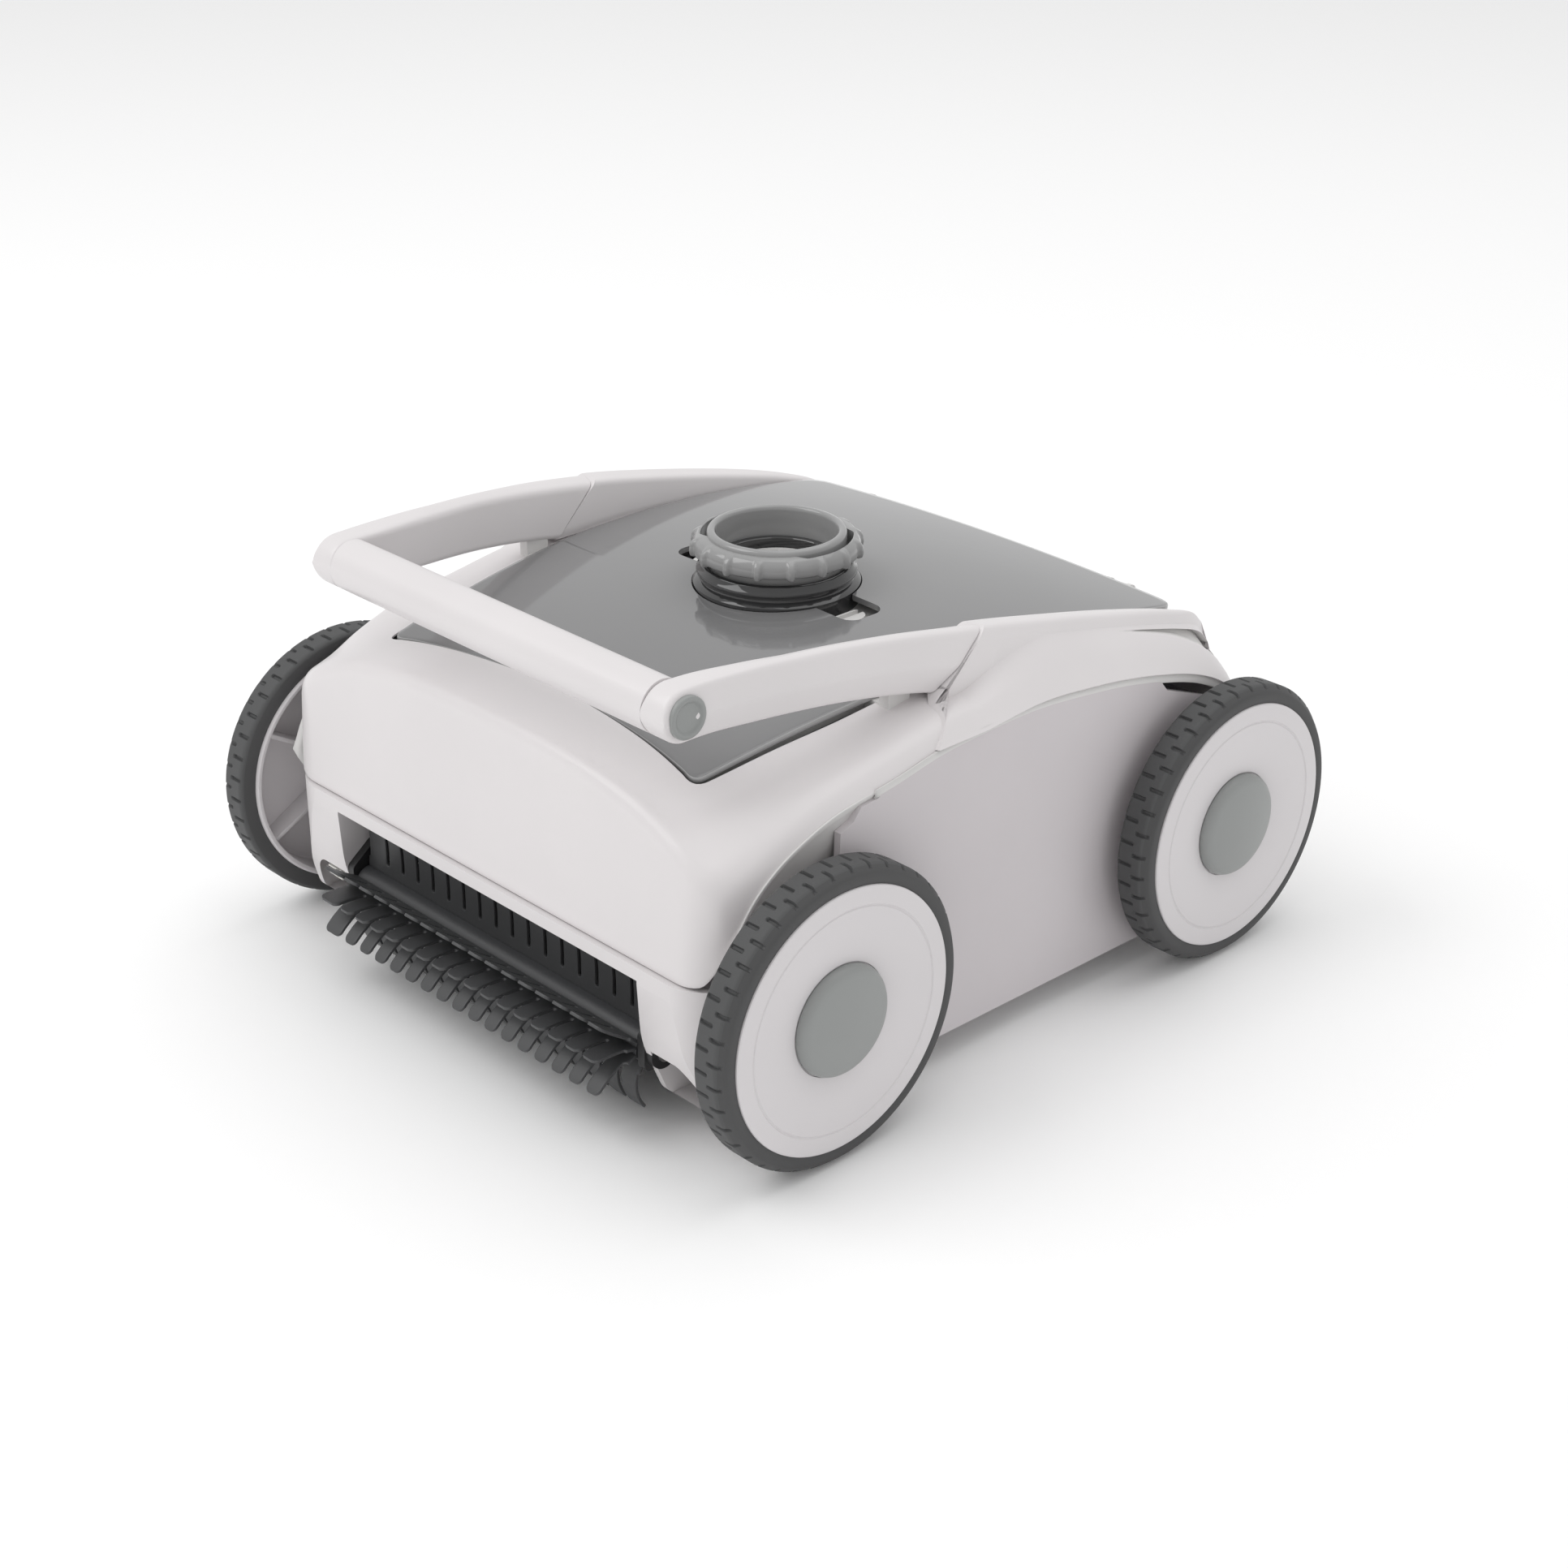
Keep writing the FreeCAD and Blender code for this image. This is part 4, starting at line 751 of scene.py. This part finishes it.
# ---- wheels ----
def tread_depth(turn, across):
    """Depth of the moulded sipes: two staggered rows of short round-ended slots."""
    pitch = math.radians(9.0)
    depth = np.zeros(np.broadcast(turn, across).shape)
    rows = ((0.5, 1.2, 9.6), (0.0, 9.0, 21.5))
    for shift, start, end in rows:
        offset = ((turn / pitch + shift) % 1.0 - 0.5) * pitch * WHEEL_R
        half_width = 1.0
        along = np.clip(across, start + half_width, end - half_width)
        away = np.hypot(offset, across - along)
        depth = np.maximum(depth, np.clip((half_width - away) / 0.4, 0, 1))
    return depth * 1.5


def wheel_place(end, name):
    """Axle centre and rigid body of one wheel."""
    if end == "front":
        return FRONT_AXLE, "front_wheels"
    return REAR_AXLE, f"rear_wheel_{name}"


def tyre(end, side, name):
    """Tread with its sipes, and the two walls down to the rim's seat."""
    axle, body = wheel_place(end, name)
    inside = TYRE_IN + TYRE_MARGIN
    width = TYRE_OUT - TYRE_IN - 2 * TYRE_MARGIN
    flat = [0.0, 0.5, 1.2] + list(np.linspace(1.8, width - 4.4, 27)) + [width - 3.8, width - 3.2]
    steps = 800
    turn = np.linspace(0, 2 * math.pi, steps, endpoint=False)
    rows, wall = [], []
    shoulder = smooth_curve([(0, WHEEL_R - 2.0), (0.6, WHEEL_R - 0.9), (1.8, WHEEL_R - 0.15),
                             (2.6, WHEEL_R), (width - 5.2, WHEEL_R), (width - 4.0, WHEEL_R - 0.25),
                             (width - 3.2, WHEEL_R - 0.9)])

    def around(x, r):
        column = np.full(steps, side * (inside + x))
        return np.column_stack([column, axle.y + r * np.cos(turn), axle.z + r * np.sin(turn)])

    for x in flat:
        rows.append(around(x, float(shoulder(x)) - tread_depth(turn, x)))
    outer_wall = ((width - 3.2, WHEEL_R - 0.9), (width - 1.6, WHEEL_R - 2.2), (width - 0.4, WHEEL_R - 3.3),
                  (width, WHEEL_R - 4.2), (width, 66.9), (width - 0.3, 66.2), (width - 0.4, 65.9))
    for x, r in outer_wall:
        dent = tread_depth(turn, 20.0) * 0.9 if r > WHEEL_R - 1.5 else 0.0
        wall.append(around(x, r - dent))
    bm = bmesh.new()
    add_grid(bm, rows, close_u=True)
    add_grid(bm, wall, close_u=True, material=1)
    back = [(inside, WHEEL_R - 2.0), (inside, 66.0)]
    add_turned(bm, back, axle, side, steps, material=1, closed=False)
    piece = finish_mesh(f"{end}_tread_{name}", bm, [TYRE, TYRE_WALL], 40.0)
    return place(piece, body, "tyre_rubber", f"{end}_tyre_{name}")


def rim(end, side, name):
    """Wheel: softly dished face with a fine groove, barrel with a lip, six ribs and a hub."""
    axle, body = wheel_place(end, name)
    face = TYRE_OUT
    web, rib_from, rib_to = 191.5, 13.2, 62.0
    hub = [(172.0, 5.1), (172.0, 12.6), (172.5, 13.1), (191.0, 15.0), (web, 16.0), (web, 60.5),
           (190.5, 61.5)]
    barrel = [(178.0, 62.4), (176.6, 62.6), (175.6, 63.0), (175.2, 63.9), (175.2, 64.9), (175.8, 65.6),
              (176.8, 65.9)]
    disc = [(1.2, 65.9), (0.45, 65.7), (0.1, 65.2), (0.0, 64.4), (0.0, 57.0), (0.5, 56.5), (0.5, 56.0),
            (0.1, 55.5), (0.3, 50.0), (1.0, 42.0), (2.2, 35.0), (3.2, 30.5), (3.5, 28.2), (4.2, 27.9),
            (4.2, 5.1)]
    bm = bmesh.new()
    add_turned(bm, hub + barrel + [(face - deep, r) for deep, r in disc], axle, side, 160)
    for k in range(6):
        a = math.radians(30 + 60 * k)
        way, across = np.array([math.cos(a), math.sin(a)]), np.array([-math.sin(a), math.cos(a)])
        rings = []
        for r in np.linspace(rib_from, rib_to, 8):
            rear = 179.0 + 2.0 * (r - rib_from) / (rib_to - rib_from)
            ring = []
            for x, t in softened([(rear, -1.2), (191.6, -1.6), (191.6, 1.6), (rear, 1.2)], 0.6, 2):
                yz = way * r + across * t
                ring.append((side * x, axle.y + yz[0], axle.z + yz[1]))
            rings.append(ring)
        add_loft(bm, rings)
    piece = finish_mesh(f"{end}_wheel_{name}", bm, WHEEL_WHITE, 38.0)
    return place(piece, body, "wheel_white", f"{end}_rim_{name}")


def hub_cap(end, side, name):
    """Grey disc in the wheel's middle: a shallow dome with a rounded edge."""
    axle, body = wheel_place(end, name)
    top = 200.5
    base = TYRE_OUT - 3.6
    dome = [(top - 3.0 * (r / 24.5) ** 2.0, r) for r in np.linspace(0, 24.5, 12)]
    edge = [(top - 3.8, 25.9), (top - 5.0, 26.9), (top - 6.4, 27.5), (base, 27.6), (base, 20.0)]
    bm = bmesh.new()
    add_turned(bm, dome + edge, axle, side, 96, closed=False)
    piece = finish_mesh(f"{end}_cap_{name}", bm, CAP, 40.0)
    return place(piece, body, "cap_grey", f"{end}_hub_cap_{name}")


# ---- brush ----
BRUSH_HALF = reach_mm("brush_core").x
END_FINGER, FINGER_PITCH = 16.7, 12.8
FIN_FROM, SLOT_FROM, TIP_R = 9.0, 14.5, 3.2


def fin_grid(bm, reach, root_deg, bend_deg, slot):
    """One soft fin: a web on the core and round-ended fingers, curved in the Y-Z plane."""
    length = reach - FIN_FROM

    def place_point(x, s):
        t = (s - FIN_FROM) / length
        angle = math.radians(root_deg + bend_deg * t ** 1.6)
        return x, BRUSH.y + s * math.cos(angle), BRUSH.z + s * math.sin(angle)

    inner = [-BRUSH_HALF + END_FINGER + FINGER_PITCH * j for j in range(16)]
    edges = [-BRUSH_HALF] + inner + [BRUSH_HALF]
    columns = np.linspace(-1, 1, 9)
    for left, right in zip(edges, edges[1:]):
        middle, half = (left + right) / 2, (right - left) / 2
        slim = half - slot / 2
        rows = []
        for s in np.linspace(FIN_FROM, SLOT_FROM, 6):
            rows.append([place_point(middle + c * half, s) for c in columns])
        fillet = slot / 2
        for s in np.linspace(0.15, 1.0, 5):
            w = half - fillet * math.sqrt(1 - (1 - s) ** 2)
            rows.append([place_point(middle + c * w, SLOT_FROM + s * fillet) for c in columns])
        for s in np.linspace(SLOT_FROM + fillet + 1.5, reach - TIP_R, 8):
            rows.append([place_point(middle + c * slim, s) for c in columns])
        for a in np.linspace(0.2, 1.45, 6):
            w = slim - TIP_R + TIP_R * math.cos(a)
            s = reach - TIP_R + TIP_R * math.sin(a)
            rows.append([place_point(middle + c * w, s) for c in columns])
        add_grid(bm, rows)


def brush_fins():
    """Eight fins; each row gives reach, root angle, bend along the fin and slot width."""
    fins = ((34.4, 148, -2, 2.4), (32.4, 171, 4, 2.6), (35.0, 197, 11, 4.4), (35.0, 240, 28, 3.0),
            (34.6, 290, 16, 2.6), (34.6, 335, 8, 2.6), (34.6, 25, 6, 2.6), (34.6, 85, 4, 2.6))
    bm = bmesh.new()
    for reach, root, bend, slot in fins:
        fin_grid(bm, reach, root, bend, slot)
    piece = finish_mesh("brush_fins", bm, BRUSH_RUBBER, 60.0)
    thicken(piece, 1.5)
    soften_edges(piece, 0.35, 60.0)
    return place(piece, "brush", "brush_rubber", "brush_blades")


def arch_lining(side, name):
    """Pale inner face between the arch lip and the side panel's stepped corner, and the lip's edge."""
    front, band = [], []
    for y in np.linspace(-190.0, -88.0, 40):
        edge = max(EDGE_Z, float(LIP(y)))
        front.append([(side * 166.0, y, edge + 0.5), (side * 163.5, y + 1.0, edge - 4.0),
                      (side * 161.0, y + 6.0, edge - 14.0),
                      (side * 159.0, y + 14.0, max(40.0, edge - 30.0))])
    for y in np.linspace(-96.0, 172.0, 70):
        edge = float(LIP(y))
        band.append([(side * 166.6, y, edge + 1.5), (side * 166.6, y, edge - 2.2),
                     (side * 164.0, y, edge - 2.6)])
    bm = bmesh.new()
    add_grid(bm, front)
    add_grid(bm, band)
    piece = finish_mesh(f"arch_lining_{name}", bm, INNER_WHITE_AND_RECESS_SHADE, 50.0)
    thicken(piece, 1.0)
    return place(piece, "chassis", "inner_white")


# ---- stage ----
def stage():
    """White floor, white world and two soft lamps, in metres."""
    bm = bmesh.new()
    reach, drop = 6.0, -0.0003
    square = ((-1, -1), (1, -1), (1, 1), (-1, 1))
    corners = [bm.verts.new((x * reach, y * reach, drop)) for x, y in square]
    bm.faces.new(corners)
    mesh = bpy.data.meshes.new("floor")
    bm.to_mesh(mesh)
    bm.free()
    floor = bpy.data.objects.new("floor", mesh)
    bpy.context.scene.collection.objects.link(floor)
    paper = bpy.data.materials.new("floor")
    paper.use_nodes = True
    shader_of(paper).inputs["Base Color"].default_value = (1.0, 1.0, 1.0, 1)
    shader_of(paper).inputs["Roughness"].default_value = 0.9
    mesh.materials.append(paper)
    world = bpy.data.worlds.new("studio")
    world.use_nodes = True
    back = world.node_tree.nodes["Background"]
    back.inputs["Color"].default_value = (1.0, 1.0, 1.0, 1)
    back.inputs["Strength"].default_value = 0.75
    bpy.context.scene.world = world
    lamps = (("key", (-1.1, -1.6, 2.4), 1.8, 24.0), ("top", (0.2, 0.9, 2.6), 2.4, 14.0))
    for name, at, size, power in lamps:
        light = bpy.data.lights.new(name, "AREA")
        light.shape, light.size, light.energy = "SQUARE", size, power
        lamp = bpy.data.objects.new(name, light)
        lamp.location = at
        lamp.rotation_mode = "QUATERNION"
        lamp.rotation_quaternion = (Vector((0, 0, 0.1)) - Vector(at)).to_track_quat("-Z", "Y")
        bpy.context.scene.collection.objects.link(lamp)


def camera():
    """The view of the reference picture: angles, lens and place were fitted to its round discs."""
    azimuth, elevation, roll = (math.radians(a) for a in (46.4586, 26.0085, 0.1761))
    data = bpy.data.cameras.new("camera")
    data.sensor_width, data.lens = 36.0, 60.53
    cam = bpy.data.objects.new("camera", data)
    back = Vector((math.sin(azimuth) * math.cos(elevation), -math.cos(azimuth) * math.cos(elevation),
                   math.sin(elevation)))
    right = Vector((math.cos(azimuth), math.sin(azimuth), 0))
    up = back.cross(right)
    across = right * math.cos(roll) + up * math.sin(roll)
    above = up * math.cos(roll) - right * math.sin(roll)
    turn = Matrix((across, above, back)).transposed().to_4x4()
    cam.matrix_world = Matrix.Translation((0.9115, -0.8607, 0.6883)) @ turn
    bpy.context.scene.collection.objects.link(cam)
    bpy.context.scene.camera = cam


stage()
camera()
dress_cad_nodes()
upper_shell()
lid_panel()
swivel_ring()
collar_nut()
hose_neck()
swirl_vanes()
brush_fins()
rings_of_rail = rail_rings()
for side, name in SIDES:
    handle_arm(side, name)
    rail(rings_of_rail, side, name)
    arch_lining(side, name)
    handle_cap(side, name)
    for end in ("front", "rear"):
        tyre(end, side, name)
        rim(end, side, name)
        hub_cap(end, side, name)
# CAD nodes that stay in view get a small edge radius.
for name, width in (("chassis_tub", 2.5), ("side_panel_right", 0.6), ("side_panel_left", 0.6)):
    soften_edges(frame["nodes"][name], width, 50.0)

bpy.context.scene.view_settings.view_transform = "Standard"
